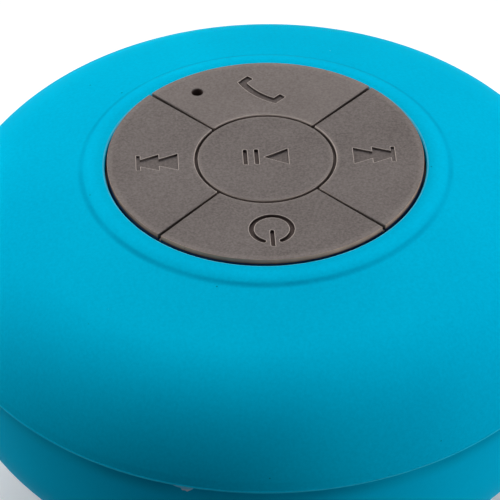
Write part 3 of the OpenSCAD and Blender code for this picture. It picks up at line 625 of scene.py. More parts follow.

# outlines of the symbols at their rims: start point and moves as traceProfile takes them, in the keypad's
# own directions, and how dark the painted shade on the floor is
ringStart, ringEnd = math.radians(-64), math.radians(244)
ringMiddle, ringOuter = 2.55, 2.99
symbols = {
    "pauseBar": {"depth": 0.42, "dark": 0.62, "start": (0.4, 0), "moves": [
        (0.4, 1.66, 0.34), (-0.4, 1.66, 0.34), (-0.4, -1.66, 0.34), (0.4, -1.66, 0.34)]},
    "pointer": {"depth": 0.36, "dark": 0.2, "start": (3.18, 0), "moves": [
        (3.18, 1.81, 0.3), (-0.35, 0, 0.36), (3.18, -1.81, 0.3)]},
    "skip": {"depth": 0.34, "dark": 0.18, "start": (-2.76, 0), "moves": [
        (-2.76, -1.63, 0.2), (-2.02, -1.63, 0.2), (-2.02, -0.86), (0.36, -1.82, 0.3), (0.36, -0.86),
        (2.81, -1.84, 0.3), (2.81, 1.84, 0.3), (0.36, 0.86), (0.36, 1.82, 0.3), (-2.02, 0.86),
        (-2.02, 1.63, 0.2), (-2.76, 1.63, 0.2)]},
    "powerRing": {
        "depth": 0.42, "dark": 0.78,
        "start": (ringOuter * math.cos(ringStart), ringOuter * math.sin(ringStart)), "moves": [
            (0, 0, -308, 60),
            (ringMiddle * math.cos(ringEnd), ringMiddle * math.sin(ringEnd), -180, 6),
            (0, 0, 308, 60),
            (ringMiddle * math.cos(ringStart), ringMiddle * math.sin(ringStart), -150, 5)]},
    "powerBar": {"depth": 0.42, "dark": 0.78, "start": (0.39, -1.8), "moves": [
        (0.39, -0.08, 0.34), (-0.39, -0.08, 0.34), (-0.39, -3.47, 0.34), (0.39, -3.47, 0.34)]},
    "handset": {"depth": 0.32, "dark": 0.32, "start": (-3.51, 1.0), "moves": [
        (-3.51, 2.11, 0.3), (-2.29, 2.11, 0.3), (-2.29, 0.91), (0, 9.065, -31.37, 8),
        (2.29, 2.11, 0.3), (3.51, 2.11, 0.3), (3.51, 0.044), (0, 9.065, 42.52, 14)]},
}

# each key: its quarter's turn and how far its two sides stand from that, the CAD names, and its symbols
# with their place and turn
keys = {
    "powerKey": {"turn": 270, "sides": (-43.9, 43.5), "body": "power_button", "node": "power_key",
                 "symbols": [("powerRing", (-0.03, -14.3), 0), ("powerBar", (-0.03, -14.3), 0)]},
    # the call key's top gets painted light
    "callKey": {"turn": 90, "sides": (-46.1, 44.6), "body": "call_button", "node": "call_key",
                "paintedLight": 0.08, "symbols": [("handset", (-0.45, 13.68), -46)]},
    "previousKey": {"turn": 0, "sides": (-46.5, 43.9), "body": "previous_button", "node": "previous_key",
                    "symbols": [("skip", (13.93, -0.27), 180)]},
    "nextKey": {"turn": 180, "sides": (-45.4, 46.1), "body": "next_button", "node": "next_key",
                "symbols": [("skip", (-13.87, -0.07), 0)]},
    "playKey": {"turn": None, "body": "play_button", "node": "play_key", "symbols": [
        ("pauseBar", (-2.57, 0.3), 0), ("pauseBar", (-1.12, 0.3), 0), ("pointer", (-0.11, 0.16), 0)]},
}


def quarterBlank(look, sides):
    # a quarter turn of the key's section, trimmed by two planes that leave the gaps between the keys
    outer, top, low = look["radius"], look["top"], look["low"]
    bm = bmesh.new()
    traceClosed(bm, (look["quarterInner"], low), [
        (look["quarterInner"], top, look["innerRound"]),
        (outer, top, look["outerRound"]),
        *[(outer, height) for height in (look["edgeLow"], look["gapTop"], look["castTop"], low)],
    ])
    turnAll(bm, -look["sweep"] / 2)
    spinRound(bm, bm.verts[:] + bm.edges[:], look["sweep"], look["sweepSteps"], use_merge=False)
    for side, way in zip(sides, (-1, 1)):
        facing = Vector((-math.sin(math.radians(side)), math.cos(math.radians(side)), 0)) * way
        bmesh.ops.bisect_plane(bm, geom=allParts(bm), dist=tiny, plane_co=facing * -look["halfGap"] * mm,
                               plane_no=facing, clear_outer=True)
    bmesh.ops.delete(bm, geom=[v for v in bm.verts if not v.link_faces], context="VERTS")
    ends = bmesh.ops.holes_fill(bm, edges=[e for e in bm.edges if e.is_boundary], sides=0)["faces"]
    faceOut(bm)
    # all edges of the two sides are softened but the lowest
    sideEdges = {e for face in ends for e in face.edges if max(v.co.z for v in e.verts) > low * mm + tiny}
    soften(bm, list(sideEdges), look["grooveRound"])
    weld(bm, look["weld"] * mm)
    return bm


def middleBlank(look):
    bm = bmesh.new()
    bmesh.ops.create_circle(bm, cap_ends=True, segments=look["middleSteps"],
                            radius=look["middleRadius"] * mm, matrix=spotAt(0, 0, look["low"]))
    upper = only(BMVert, bmesh.ops.extrude_face_region(bm, geom=bm.faces[:], use_keep_orig=True))
    bmesh.ops.translate(bm, vec=(0, 0, (look["top"] - look["low"]) * mm), verts=upper)
    faceOut(bm)
    soften(bm, [e for e in bm.edges if all(v in upper for v in e.verts)], look["grooveRound"])
    return bm


def openFlat(bm, height):
    # takes the flat face at a height away and gives back the edges round it
    def level(item):
        return all(abs(v.co.z - height * mm) < tiny for v in item.verts)
    bmesh.ops.delete(bm, geom=[f for f in bm.faces if level(f)], context="FACES")
    return [e for e in bm.edges if e.is_boundary and level(e)]


def edgesOf(verts):
    return list({e for v in verts for e in v.link_edges})


def drawLoop(bm, start, moves, spot):
    # a closed outline, laid flat by turning it down and then moved to its spot
    before = set(bm.verts)
    traceClosed(bm, start, moves)
    drawn = [v for v in bm.verts if v not in before]
    bmesh.ops.transform(bm, matrix=spot @ turnBy(-90, "X"), verts=drawn)
    return edgesOf(drawn)


def circleLoop(bm, radius, spot, segments):
    made = bmesh.ops.create_circle(bm, segments=segments, radius=radius * mm, matrix=spot)
    return edgesOf(made["verts"])


def faceLoop(bm, edges, facing):
    face = bmesh.ops.contextual_create(bm, geom=edges)["faces"][0]
    face.normal_update()
    if face.normal.dot(facing) < 0:
        bmesh.ops.reverse_faces(bm, faces=[face])
    return face


def fillAround(bm, edges, facing):
    bmesh.ops.triangle_fill(bm, use_beauty=True, use_dissolve=False, edges=edges, normal=facing)
    faceOut(bm)


def stretchFace(bm, face, scale):
    centre = Matrix.Translation(-face.calc_center_median())
    bmesh.ops.scale(bm, vec=scale, space=centre, verts=face.verts[:])


def growFace(bm, face, step, scale=1):
    # pulls a face out by a step, or widens it in its own plane
    grown = only(BMFace, bmesh.ops.extrude_face_region(bm, geom=[face]))[0]
    bmesh.ops.delete(bm, geom=[face], context="FACES_ONLY")
    bmesh.ops.translate(bm, vec=Vector(step) * mm, verts=grown.verts[:])
    stretchFace(bm, grown, (scale, scale, scale))
    return grown


def sinkFace(bm, face, look, symbol, shade):
    # a rim with a painted highlight, then the wall, down to a flat floor; wall and floor get painted shade
    rimDeep, step = look["rimDeep"], look["wallStep"]
    for wide, deep, tone in (
            (look["rimWide"], rimDeep, -look["rimHighlight"]), (step, step, look["wallDark"]),
            (look["floorInset"], symbol["depth"] - rimDeep - step, symbol["dark"])):
        bmesh.ops.inset_region(bm, faces=[face], use_boundary=True, use_even_offset=True,
                               thickness=wide * mm, depth=-deep * mm)
        for v in face.verts:
            v[shade] = tone


def boreMic(bm, look):
    # a dished rim and a plain hole down to the lower face; gives back the edges at both ends
    rim = holes = circleLoop(bm, look["micRim"], spotAt(*look["micPlace"], look["top"]), look["roundSteps"])
    dish, through = look["micDish"], look["top"] - look["low"]
    for height, scale in ((-dish, look["micRadius"] / look["micRim"]), (dish - through, 1)):
        sunk = bmesh.ops.extrude_edge_only(bm, edges=holes)
        ring = only(BMVert, sunk)
        bmesh.ops.translate(bm, vec=(0, 0, height * mm), verts=ring)
        bmesh.ops.scale(bm, vec=(scale, scale, 1), verts=ring,
                        space=spotAt(*look["micPlace"], 0).inverted())
        holes = only(BMEdge, sunk)
    return rim, holes


def shadeKey(bm, look, paintedLight, micSpot, shade):
    for v in bm.verts:
        flat = Vector((v.co.x, v.co.y))
        outside = flat.length > (look["radius"] - look["edgeBand"]) * mm
        tones = [tone for height, tone in look["edgeShade" if outside else "grooveShade"]
                 if v.co.z < (height + look["shadeReach"]) * mm]
        # a flat top takes the key's painted light
        v[shade] = tones[0] if tones else -paintedLight
        if tones and outside:
            # painted shade: the outer edge is darker towards the two sides
            aside = abs(flat.x) / flat.length - look["sideFrom"]
            v[shade] += look["sideDark"] * max(0, aside) / (1 - look["sideFrom"])
        # painted shade in and round the mic hole
        if (flat - micSpot).length < look["micReach"] * mm:
            v[shade] = look["micDark"]


def makeKey(name, key, look):
    middle = key["turn"] is None
    bm = middleBlank(look) if middle else quarterBlank(look, key["sides"])
    bm.verts.layers.float.new("shade")
    bmesh.ops.bisect_plane(bm, geom=allParts(bm), dist=tiny, plane_no=up,
                           plane_co=up * look["grooveTop"] * mm)
    if not middle:
        turnAll(bm, key["turn"])
    top, low = look["top"], look["low"]
    loops = [drawLoop(bm, symbols[kind]["start"], symbols[kind]["moves"], spotAt(*place, top, turn))
             for kind, place, turn in key["symbols"]]
    topEdges = openFlat(bm, top)
    lowEdges = openFlat(bm, low)
    stemX = 0 if middle else look["switchX"]
    stem = circleLoop(bm, look["stemRadius"], turnBy(key["turn"] or 0) @ spotAt(stemX, 0, low),
                      look["roundSteps"])
    rim, holes = boreMic(bm, look) if name == "callKey" else ([], [])
    turnAll(bm, look["turn"])
    micSpot = (turnBy(look["turn"]).to_2x2() @ Vector(look["micPlace"])) * mm
    faces = [faceLoop(bm, loop, up) for loop in loops]
    stemFace = faceLoop(bm, stem, -up)
    fillAround(bm, topEdges + rim + [e for loop in loops for e in loop], up)
    fillAround(bm, lowEdges + stem + holes, -up)
    if bm.calc_volume(signed=True) < 0:
        bmesh.ops.reverse_faces(bm, faces=bm.faces[:])
    shade = bm.verts.layers.float["shade"]
    shadeKey(bm, look, key.get("paintedLight", 0), micSpot, shade)
    for face, (kind, place, turn) in zip(faces, key["symbols"]):
        sinkFace(bm, face, look, symbols[kind], shade)
    widen = look["collarRadius"] / look["stemRadius"]
    collarTop, collarLow = look["collarTop"], look["collarLow"]
    for height, scale in ((collarTop - low, 1), (0, widen), (collarLow - collarTop, 1), (0, 1 / widen),
                          (look["stemLow"] - collarLow, 1)):
        stemFace = growFace(bm, stemFace, (0, 0, height), scale)
    finishPiece(bm, name, key["body"], keyRubber, [key["node"]])


for name, key in keys.items():
    makeKey(name, key, keypad)

# what shows at the bottom of the gaps: the web of the sheet that the keys are moulded in, a ring in painted
# shade and four strips
keyWeb = {
    "low": 53.9, "top": 54.2, "ringInner": 8.68, "ringOuter": 9.05, "ringDark": 0.7, "steps": 128,
    "stripInner": 9.04, "stripOuter": 20.2, "stripWide": 0.32,
}


def addBlock(bm, low, high, spot=Matrix()):
    size = Vector(high) - Vector(low)
    middle = (Vector(high) + Vector(low)) / 2
    bmesh.ops.create_cube(bm, size=mm, matrix=spot @ spotAt(*middle) @ Matrix.Diagonal((*size, 1)))


def makeKeyWeb(look):
    low, top, inner, outer = look["low"], look["top"], look["ringInner"], look["ringOuter"]
    bm = bmesh.new()
    traceClosed(bm, (inner, low), [(inner, top), (outer, top), (outer, low)])
    latheProfile(bm, look["steps"])
    shade = bm.verts.layers.float.new("shade")
    # painted shade on the ring
    for v in bm.verts:
        v[shade] = look["ringDark"]
    half = look["stripWide"] / 2
    for key in keys.values():
        if key["turn"] is not None:
            spot = turnBy(key["turn"] + key["sides"][1] + keypad["turn"])
            addBlock(bm, (look["stripInner"], -half, low), (look["stripOuter"], half, top), spot)
    finishPiece(bm, "keyWeb", "housing", keyRubber, [])


makeKeyWeb(keyWeb)


def copyRound(bm, count):
    # repeats what is there round the axis
    spinRound(bm, allParts(bm), 360 * (count - 1) / count, count - 1, use_duplicate=True)


def addRod(bm, radius, place, low, high, segments=48):
    made = bmesh.ops.create_cone(bm, cap_ends=True, segments=segments, depth=(high - low) * mm,
                                 radius1=radius * mm, radius2=radius * mm,
                                 matrix=spotAt(*place, (low + high) / 2))
    return made["verts"]


def turned(start, moves, steps):
    bm = bmesh.new()
    traceProfile(bm, start, moves)
    latheProfile(bm, steps)
    return bm


def carve(bm, tool, operation):
    # the exact Boolean of two solids, as a new bmesh
    pair = []
    for name, solid in (("blank", bm), ("tool", tool)):
        mesh = bpy.data.meshes.new(name)
        solid.to_mesh(mesh)
        solid.free()
        pair.append(linkObject(name, mesh))
    cut = pair[0].modifiers.new("carve", "BOOLEAN")
    cut.operation = operation
    cut.solver = "EXACT"
    cut.object = pair[1]
    made = bmesh.new()
    made.from_object(pair[0], bpy.context.evaluated_depsgraph_get())
    for thing in pair:
        mesh = thing.data
        bpy.data.objects.remove(thing)
        bpy.data.meshes.remove(mesh)
    return made


# base: a bowl with a groove for the seal under its rim, a seat for the driver, sound slots in the floor,
# four screw wells, and a recess at the back for the port flap, with a narrower end for the flap's anchor
base = {
    "floor": 15.25, "floorTop": 17.45, "bendCentre": (28.6, 28.85), "bend": 13.6, "wall": 2.2, "inset": 1.1,
    "rimTop": 36.75, "shadowLow": 36.4, "shadowRadius": 41.5, "shadowRound": 0.2,
    "sealInner": 37.7, "sealOuter": 39.4, "sealLow": 35.25,
    "rimInner": 37.2, "rimLow": 33.5, "wallTop": 31.56,
    "seatInner": 19.4, "seatOuter": 24.2, "seatTop": 20.5,
    "socketRadius": 7.55, "socketTop": 20.25, "socketRound": 0.3, "capRadius": 9.75, "capTop": 21.65,
    "steps": 192, "fillSteps": 96, "sharpAngle": 35, "weld": 0.001,
    "wellCount": 4, "wellPlace": 34.5, "wellTurn": 45, "wellRadius": 2.9, "wellTop": 27.0,
    "wellSteps": 48, "screwHole": 1.55,
    "columnRadius": 4.2, "under": 10, "over": 40,
    "slotCount": 12, "slotWidth": 1.6, "slotIn": 11.45, "slotOut": 18.5, "slotFlare": 0.35, "slotDeep": 3,
    "slotPast": 0.1,
    "postPlaces": ((-5, 29.5), (5, 29.5)), "postRadius": 2.0, "postTop": 24.2,
    "portHeight": 26.7, "portFloor": 39.9, "portReach": 6,
    "portBlock": ((-8.35, 37.5, 23.1), (12.35, 46, 30.3)),
    "portHole": ((-4.15, 36.5, 25.0), (4.15, 40.9, 28.4)),
    "pegRadius": 1.15, "pegX": 9.25, "pegSpan": (38.3, 40.9),
    "recess": ((-5.85, -3.5), [
        (7.15, -3.5, 0.3), (7.15, -2.3), (11.35, -2.3, 0.5), (11.35, 2.3, 0.5), (7.15, 2.3),
        (7.15, 3.5, 0.3), (-5.85, 3.5), (-7.15, 2.2), (-7.15, -2.2)]),
}


def bowlInside(look):
    # a solid that fills the bowl, a little inside its outer face
    bendX, bendZ = look["bendCentre"]
    low = look["floor"] + look["inset"]
    return turned((0, low), [
        (bendX, low), (bendX, bendZ, -90, 24),
        (bendX + look["bend"] - look["inset"], look["rimTop"]), (0, look["rimTop"]),
    ], look["fillSteps"])


def addLid(bm, face):
    # a copy of a face that looks the other way
    lid = only(BMFace, bmesh.ops.duplicate(bm, geom=[face]))
    bmesh.ops.reverse_faces(bm, faces=lid)
    return lid[0]


def slotTool(look):
    # a slot with round ends that opens out towards the floor's lower face
    half, flare, past = look["slotWidth"] / 2, look["slotFlare"], look["slotPast"]
    near, far = look["slotIn"] + half, look["slotOut"] - half
    bm = bmesh.new()
    loop = drawLoop(bm, (near, half), [
        (far, half), (far, 0, 180, 12), (near, -half), (near, 0, 165, 11),
    ], spotAt(0, 0, look["floor"] + look["slotDeep"]))
    face = faceLoop(bm, loop, -up)
    addLid(bm, face)
    face = growFace(bm, face, (0, 0, flare - look["slotDeep"]))
    face = growFace(bm, face, (0, 0, -flare - past))
    wide = 1 + 2 * (flare + past) / (far - near + 2 * half)
    stretchFace(bm, face, (wide, 1 + (flare + past) / half, 1))
    weld(bm)
    faceOut(bm)
    return bm


def joinMeshes(bm, more):
    mesh = bpy.data.meshes.new("more")
    more.to_mesh(mesh)
    more.free()
    bm.from_mesh(mesh)
    bpy.data.meshes.remove(mesh)


def makeBase(look):
    bendX, bendZ = look["bendCentre"]
    outer = bendX + look["bend"]
    inner = outer - look["wall"]
    floor, floorTop, rimTop, shadow = look["floor"], look["floorTop"], look["rimTop"], look["shadowLow"]
    shell = turned((0, look["socketTop"]), [
        (look["socketRadius"], look["socketTop"]),
        (look["socketRadius"], floor, look["socketRound"]),
        (bendX, floor), (bendX, bendZ, -90, 28),
        (outer, shadow, look["shadowRound"]), (look["shadowRadius"], shadow),
        (look["shadowRadius"], rimTop), (look["sealOuter"], rimTop),
        (look["sealOuter"], look["sealLow"]), (look["sealInner"], look["sealLow"]),
        (look["sealInner"], rimTop), (look["rimInner"], rimTop),
        (look["rimInner"], look["rimLow"]), (inner, look["wallTop"]), (inner, bendZ),
        (bendX, bendZ, 90, 20),
        (look["seatOuter"], floorTop), (look["seatOuter"], look["seatTop"]),
        (look["seatInner"], look["seatTop"]), (look["seatInner"], floorTop),
        (look["capRadius"], floorTop), (look["capRadius"], look["capTop"]),
        (0, look["capTop"]),
    ], look["steps"])

    lumps = bmesh.new()
    addRod(lumps, look["columnRadius"], (look["wellPlace"], 0), look["under"], look["over"])
    turnAll(lumps, look["wellTurn"])
    copyRound(lumps, look["wellCount"])
    for place in look["postPlaces"]:
        addRod(lumps, look["postRadius"], place, look["under"], look["postTop"])
    addBlock(lumps, *look["portBlock"])
    bm = carve(shell, carve(bowlInside(look), lumps, "INTERSECT"), "UNION")

    cuts = turned((0, look["under"]), [
        (look["wellRadius"], look["under"]), (look["wellRadius"], look["wellTop"]),
        (look["screwHole"], look["wellTop"]), (look["screwHole"], look["over"]),
        (0, look["over"]),
    ], look["wellSteps"])
    bmesh.ops.translate(cuts, vec=(look["wellPlace"] * mm, 0, 0), verts=cuts.verts[:])
    turnAll(cuts, look["wellTurn"])
    copyRound(cuts, look["wellCount"])
    slots = slotTool(look)
    copyRound(slots, look["slotCount"])
    joinMeshes(cuts, slots)
    bm = carve(bm, cuts, "DIFFERENCE")

    recess = bmesh.new()
    spot = spotAt(0, look["portFloor"], look["portHeight"]) @ turnBy(90, "X")
    floorFace = faceLoop(recess, drawLoop(recess, *look["recess"], spot), -back)
    growFace(recess, addLid(recess, floorFace), (0, look["portReach"], 0))
    weld(recess)
    faceOut(recess)
    bm = carve(bm, recess, "DIFFERENCE")

    holes = bmesh.new()
    addBlock(holes, *look["portHole"])
    peg = addRod(holes, look["pegRadius"], (0, 0), *look["pegSpan"])
    spot = spotAt(look["pegX"], 0, look["portHeight"]) @ turnBy(-90, "X")
    bmesh.ops.transform(holes, matrix=spot, verts=peg)
    bm = carve(bm, holes, "DIFFERENCE")
    weld(bm, look["weld"] * mm)
    finishPiece(bm, "baseBowl", "housing", basePlastic, ["base_shell"], look["sharpAngle"])


makeBase(base)

# rubber flap over the charge port, and the anchor that its web is tied to: each wraps to the wall of the
# base in front and has a stud behind
plugs = {
    "portFlap": {
        "body": "port_flap", "node": "port_plug", "back": 40.0, "studEnd": 38.5, "studScale": 0.94,
        "outline": ((6.85, 0), [
            (6.85, 3.2, 0.4), (-5.65, 3.2, 0.3), (-6.85, 2.0, 0.3), (-6.85, -2.0, 0.3),
            (-5.65, -3.2, 0.3), (6.85, -3.2, 0.4)]),
        "stud": ((3.7, 0), [
            (3.7, 1.4, 0.5), (-3.7, 1.4, 0.5), (-3.7, -1.4, 0.5), (3.7, -1.4, 0.5)]),
    },
    "flapAnchor": {
        "body": "housing", "node": "plug_anchor", "back": 39.95, "studEnd": 38.4, "studScale": 0.9,
        "outline": ((11.05, 0), [
            (11.05, 2.0, 0.5), (7.45, 2.0, 0.2), (7.45, -2.0, 0.2), (11.05, -2.0, 0.5)]),
        "stud": ((10.35, 0), [(9.25, 0, 345, 23)]),
    },
}
plugFront = {
    "clear": 0.1, "edge": 0.22, "cut": 0.8, "cuts": 15, "thick": 1.0, "sideFrom": 0.3, "frontFrom": 0.5,
}


def wallRadius(z):
    # outer radius of the base at a height
    bendX, bendZ = base["bendCentre"]
    return bendX + math.sqrt(base["bend"] ** 2 - max(bendZ - z, 0) ** 2)


def makePlug(name, plug, look):
    height, behind = base["portHeight"], plug["back"]
    front = (behind + look["frontFrom"]) * mm
    spot = spotAt(0, behind, height) @ turnBy(90, "X")
    bm = bmesh.new()
    outline = drawLoop(bm, *plug["outline"], spot)
    stud = drawLoop(bm, *plug["stud"], spot)
    studFace = faceLoop(bm, stud, -back)
    fillAround(bm, outline + stud, -back)
    growFace(bm, studFace, (0, plug["studEnd"] - behind, 0), plug["studScale"])
    grown = bmesh.ops.extrude_edge_only(bm, edges=outline)
    bmesh.ops.translate(bm, vec=back * look["thick"] * mm, verts=only(BMVert, grown))
    rim = only(BMEdge, grown)
    frontFace = faceLoop(bm, rim, back)
    faceOut(bm)
    # cut fine across both ways, so that it can follow the wall
    faces = [frontFace] + list({f for e in rim for f in e.link_faces if f != frontFace})
    for axis in (Vector((1, 0, 0)), up):
        for step in range(-look["cuts"], look["cuts"] + 1):
            parts = set(faces) | {e for f in faces for e in f.edges} | {v for f in faces for v in f.verts}
            bmesh.ops.bisect_plane(bm, geom=list(parts), dist=tiny, plane_no=axis,
                                   plane_co=axis * step * look["cut"] * mm + up * height * mm)
            faces = [f for f in bm.faces if max(v.co.y for v in f.verts) > front]
    for v in bm.verts:
        if v.co.y > front:
            reach = wallRadius(v.co.z / mm) - look["clear"]
            v.co.y = math.sqrt(reach ** 2 - (v.co.x / mm) ** 2) * mm
    side = (behind + look["sideFrom"]) * mm
    fronts = {f for f in bm.faces if min(v.co.y for v in f.verts) > side}
    soften(bm, [e for e in bm.edges if len([f for f in e.link_faces if f in fronts]) == 1], look["edge"])
    faceOut(bm)
    finishPiece(bm, name, plug["body"], coverRubber, [plug["node"]])


for name, plug in plugs.items():
    makePlug(name, plug, plugFront)

# thin rubber web that ties the flap to its anchor and bends round the hinge
web = {"low": (6.75, 41.1, 25.1), "high": (7.55, 41.1, 28.3), "thick": 0.25, "grid": (12, 2),
       "still": 7.5, "swung": 6.8}


def makeWeb(look):
    low, high = Vector(look["low"]), Vector(look["high"])
    middle, half = (low + high) / 2, (high - low) / 2
    bm = bmesh.new()
    spot = spotAt(*middle) @ turnBy(90, "X") @ Matrix.Diagonal((half.x, half.z, 1, 1))
    bmesh.ops.create_grid(bm, x_segments=look["grid"][0], y_segments=look["grid"][1], size=mm, matrix=spot)
    bmesh.ops.solidify(bm, geom=bm.faces[:], thickness=look["thick"] * mm)
    faceOut(bm)
    ends = [Vector((look[key], middle.y, middle.z)) * mm for key in ("still", "swung")]
    finishPiece(bm, "flapWeb", ("housing", "port_flap", *ends), coverRubber, [])


makeWeb(web)


# ABS, injection moulded black: dull satin, with the grain of its tool
frameLook = {"deep": "#1B1C1E", "fair": "#26272A", "driftSize": 20, "grainSize": 0.4, "grainTone": 0.3,
             "grainHeight": 0.01, "roughness": (0.45, 0.6), "sockets": {"IOR": 1.53}}

# epoxy, transfer moulded: black with a chalky cast
chipLook = {"deep": "#18191B", "fair": "#2B2C2E", "driftSize": 4, "grainSize": 0.12, "grainTone": 0.5,
            "grainHeight": 0.006, "roughness": (0.55, 0.75), "sockets": {"IOR": 1.55}}

# nitrile rubber, moulded: matt black, greyed a little by its talc
sealLook = {"deep": "#151516", "fair": "#2C2C2D", "driftSize": 6, "grainSize": 0.25, "grainTone": 0.4,
            "grainHeight": 0.008, "roughness": (0.7, 0.9), "sockets": {"IOR": 1.52}}

# EVA foam tape, sliced: open bubbles that make it dull and speckled
foamLook = {"deep": "#2A2A2C", "fair": "#47474A", "driftSize": 8, "grainSize": 0.35, "grainTone": 0.8,
            "grainHeight": 0.12, "roughness": (0.85, 0.98), "sockets": {"IOR": 1.45}}

# PVC wire insulation, extruded: smooth, with faint drift
redLeadLook = {"deep": "#A3161A", "fair": "#B92024", "driftSize": 6, "grainSize": 0.3, "grainTone": 0.3,
               "grainHeight": 0.004, "roughness": (0.35, 0.5), "sockets": {"IOR": 1.53}}
blackLeadLook = {**redLeadLook, "deep": "#161617", "fair": "#222224"}

# phenolic paper board, pressed: brown, with fibres
fibreLook = {"deep": "#6B4427", "fair": "#8A5C36", "driftSize": 5, "grainSize": 0.4, "grainTone": 0.6,
             "grainHeight": 0.01, "roughness": (0.5, 0.65), "stretch": (1, 5, 1), "sockets": {"IOR": 1.6}}

# ferrite, sintered and ground: charcoal, with fine pits
ferriteLook = {"deep": "#2B2B2D", "fair": "#414145", "driftSize": 9, "grainSize": 0.2, "grainTone": 0.6,
               "grainHeight": 0.02, "roughness": (0.4, 0.6), "sockets": {"IOR": 2.2}}

# paper pulp, pressed and dyed: fibrous and quite matt
paperLook = {"deep": "#1C1C1E", "fair": "#38383B", "driftSize": 7, "grainSize": 0.5, "grainTone": 0.7,
             "grainHeight": 0.05, "roughness": (0.85, 0.97), "sockets": {"IOR": 1.47}}

# steel, pressed and tinned: bright, with soft handling marks
tinLook = {"deep": "#B9B8B2", "fair": "#D3D2CC", "markSize": 0.8, "height": 0.004,
           "roughness": (0.25, 0.42)}

# steel, rolled thread and zinc plated: a cool grey sparkle
zincLook = {"deep": "#A6ABB2", "fair": "#C9CED4", "markSize": 0.35, "height": 0.01,
            "roughness": (0.28, 0.45)}

# nickel silver, deep drawn: fine lines along the draw
nickelLook = {"deep": "#B4ABA0", "fair": "#CFC7BB", "markSize": 0.5, "height": 0.004,
              "roughness": (0.22, 0.36), "stretch": (4, 4, 0.4)}

# aluminium laminate, cold formed: a soft silver with wrinkles
pouchLook = {"deep": "#B6BABF", "fair": "#D5D8DB", "markSize": 3, "height": 0.12,
             "roughness": (0.3, 0.45)}

# stainless steel, rolled into a shell: drawn lines along the socket
socketLook = {"deep": "#A9A9A8", "fair": "#C4C4C2", "markSize": 0.4, "height": 0.004,
              "roughness": (0.25, 0.4), "stretch": (3, 0.4, 3)}

# steel, stamped and zinc plated: wider, duller marks than the screws
stampedLook = {"deep": "#8F9499", "fair": "#AEB2B6", "markSize": 1.6, "height": 0.01,
               "roughness": (0.36, 0.55)}

# copper wire, enamelled and wound: bands one wire wide. The wire of 0.16 mm is drawn at 0.3 mm, or it would
# not show.
coilLook = {"deep": "#8A4526", "fair": "#C4723F", "wirePitch": 0.3, "height": 0.08,
            "roughness": (0.25, 0.4)}

markSpan = {"From Min": 0.25, "From Max": 0.75}  # where nearly all of the marks lie


def finishSkin(tree, shader, tone, marks, look, sockets):
    # two colours by tone, and relief of a real height
    colour = addNode(tree, "Mix", {
        0: tone, 6: hexColour(look["deep"]), 7: hexColour(look["fair"])}, data_type="RGBA")
    bump = addNode(tree, "Bump", {"Height": marks, "Distance": look["height"] * mm, "Strength": 1.0})
    feed(tree, shader, {"Base Color": colour.outputs[2], "Normal": bump, **sockets})


def metalFinish(name, look):
    # tone and gloss follow the marks that forming left, or the turns of a winding
    material, tree, shader, place = startMaterial(name)
    if "wirePitch" in look:
        marks = addNode(tree, "TexWave", {
            "Vector": place, "Scale": perPitch(look["wirePitch"]), "Distortion": 0.2,
        }, bands_direction="Z").outputs[1]
    else:
        laid = addNode(tree, "Mapping", {"Vector": place, "Scale": look.get("stretch", (1, 1, 1))})
        marks = addNode(tree, "TexNoise", {
            "Vector": laid, "Scale": perSize(look["markSize"]), "Detail": 4.0, "Roughness": 0.6})
    tone = addNode(tree, "MapRange", {"Value": marks, **markSpan})
    low, high = look["roughness"]
    gloss = addNode(tree, "MapRange", {"Value": marks, **markSpan, "To Min": high, "To Max": low})
    finishSkin(tree, shader, tone, marks, look, {"Roughness": gloss, "Metallic": 1.0})
    return material


# cotton, woven and set with resin: amber threads
spiderLook = {"deep": "#7A5A26", "fair": "#B8924E", "pitch": 0.5, "height": 0.1, "roughness": 0.75}

# polyester, woven and dyed: a tight black net. Its threads of 0.1 mm are drawn at 0.3 mm, or they would
# not show.
netLook = {"deep": "#0C0C0D", "fair": "#2E2E31", "pitch": 0.3, "height": 0.06, "roughness": 0.6}


def wovenFinish(name, look):
    # two sets of bands at right angles, with the higher one on top
    material, tree, shader, place = startMaterial(name)
    warp, weft = (addNode(tree, "TexWave", {
        "Vector": place, "Scale": perPitch(look["pitch"]), "Distortion": 0.3,
    }, bands_direction=way).outputs[1] for way in "XY")
    thread = addNode(tree, "Math", {0: warp, 1: weft}, operation="MAXIMUM")
    finishSkin(tree, shader, thread, thread, look, {"Roughness": look["roughness"]})
    return material


# glass epoxy laminate, etched and coated green: copper tracks show paler through the coat, in patches that
# run one way, with bare patches between
boardLook = {"deep": "#0E5A33", "fair": "#1F7F4C", "pitch": 0.9, "patch": 7, "turned": 0.5, "filled": 0.7,
             "edge": (0.55, 0.65), "height": 0.03, "roughness": 0.35, "ior": 1.55}


def boardFinish(name, look):
    material, tree, shader, place = startMaterial(name)
    patch = addNode(tree, "TexVoronoi", {
        "Vector": place, "Scale": perSize(look["patch"])}, distance="MANHATTAN")
    lots = addNode(tree, "SeparateColor", {"Color": patch.outputs["Color"]})
    along, across = (addNode(tree, "TexWave", {
        "Vector": place, "Scale": perPitch(look["pitch"])}, bands_direction=way).outputs[1] for way in "XY")
    way = addNode(tree, "Math", {0: lots, 1: look["turned"]}, operation="GREATER_THAN")
    run = addNode(tree, "Mix", {0: way, 2: along, 3: across}, data_type="FLOAT")
    low, high = look["edge"]
    track = addNode(tree, "MapRange", {"Value": run, "From Min": low, "From Max": high})
    laid = addNode(tree, "Math", {0: lots.outputs[1], 1: look["filled"]}, operation="LESS_THAN")
    track = addNode(tree, "Math", {0: track, 1: laid}, operation="MULTIPLY")
    finishSkin(tree, shader, track, track, look, {"Roughness": look["roughness"], "IOR": look["ior"]})
    return material


# polyester film, laminated over flat copper: white, with the strips showing through in rows
ribbonLook = {"deep": "#E4E6E8", "fair": "#B79C86", "pitch": 1.0, "edge": (0.4, 0.55), "height": 0.03,
              "roughness": 0.4, "ior": 1.58}


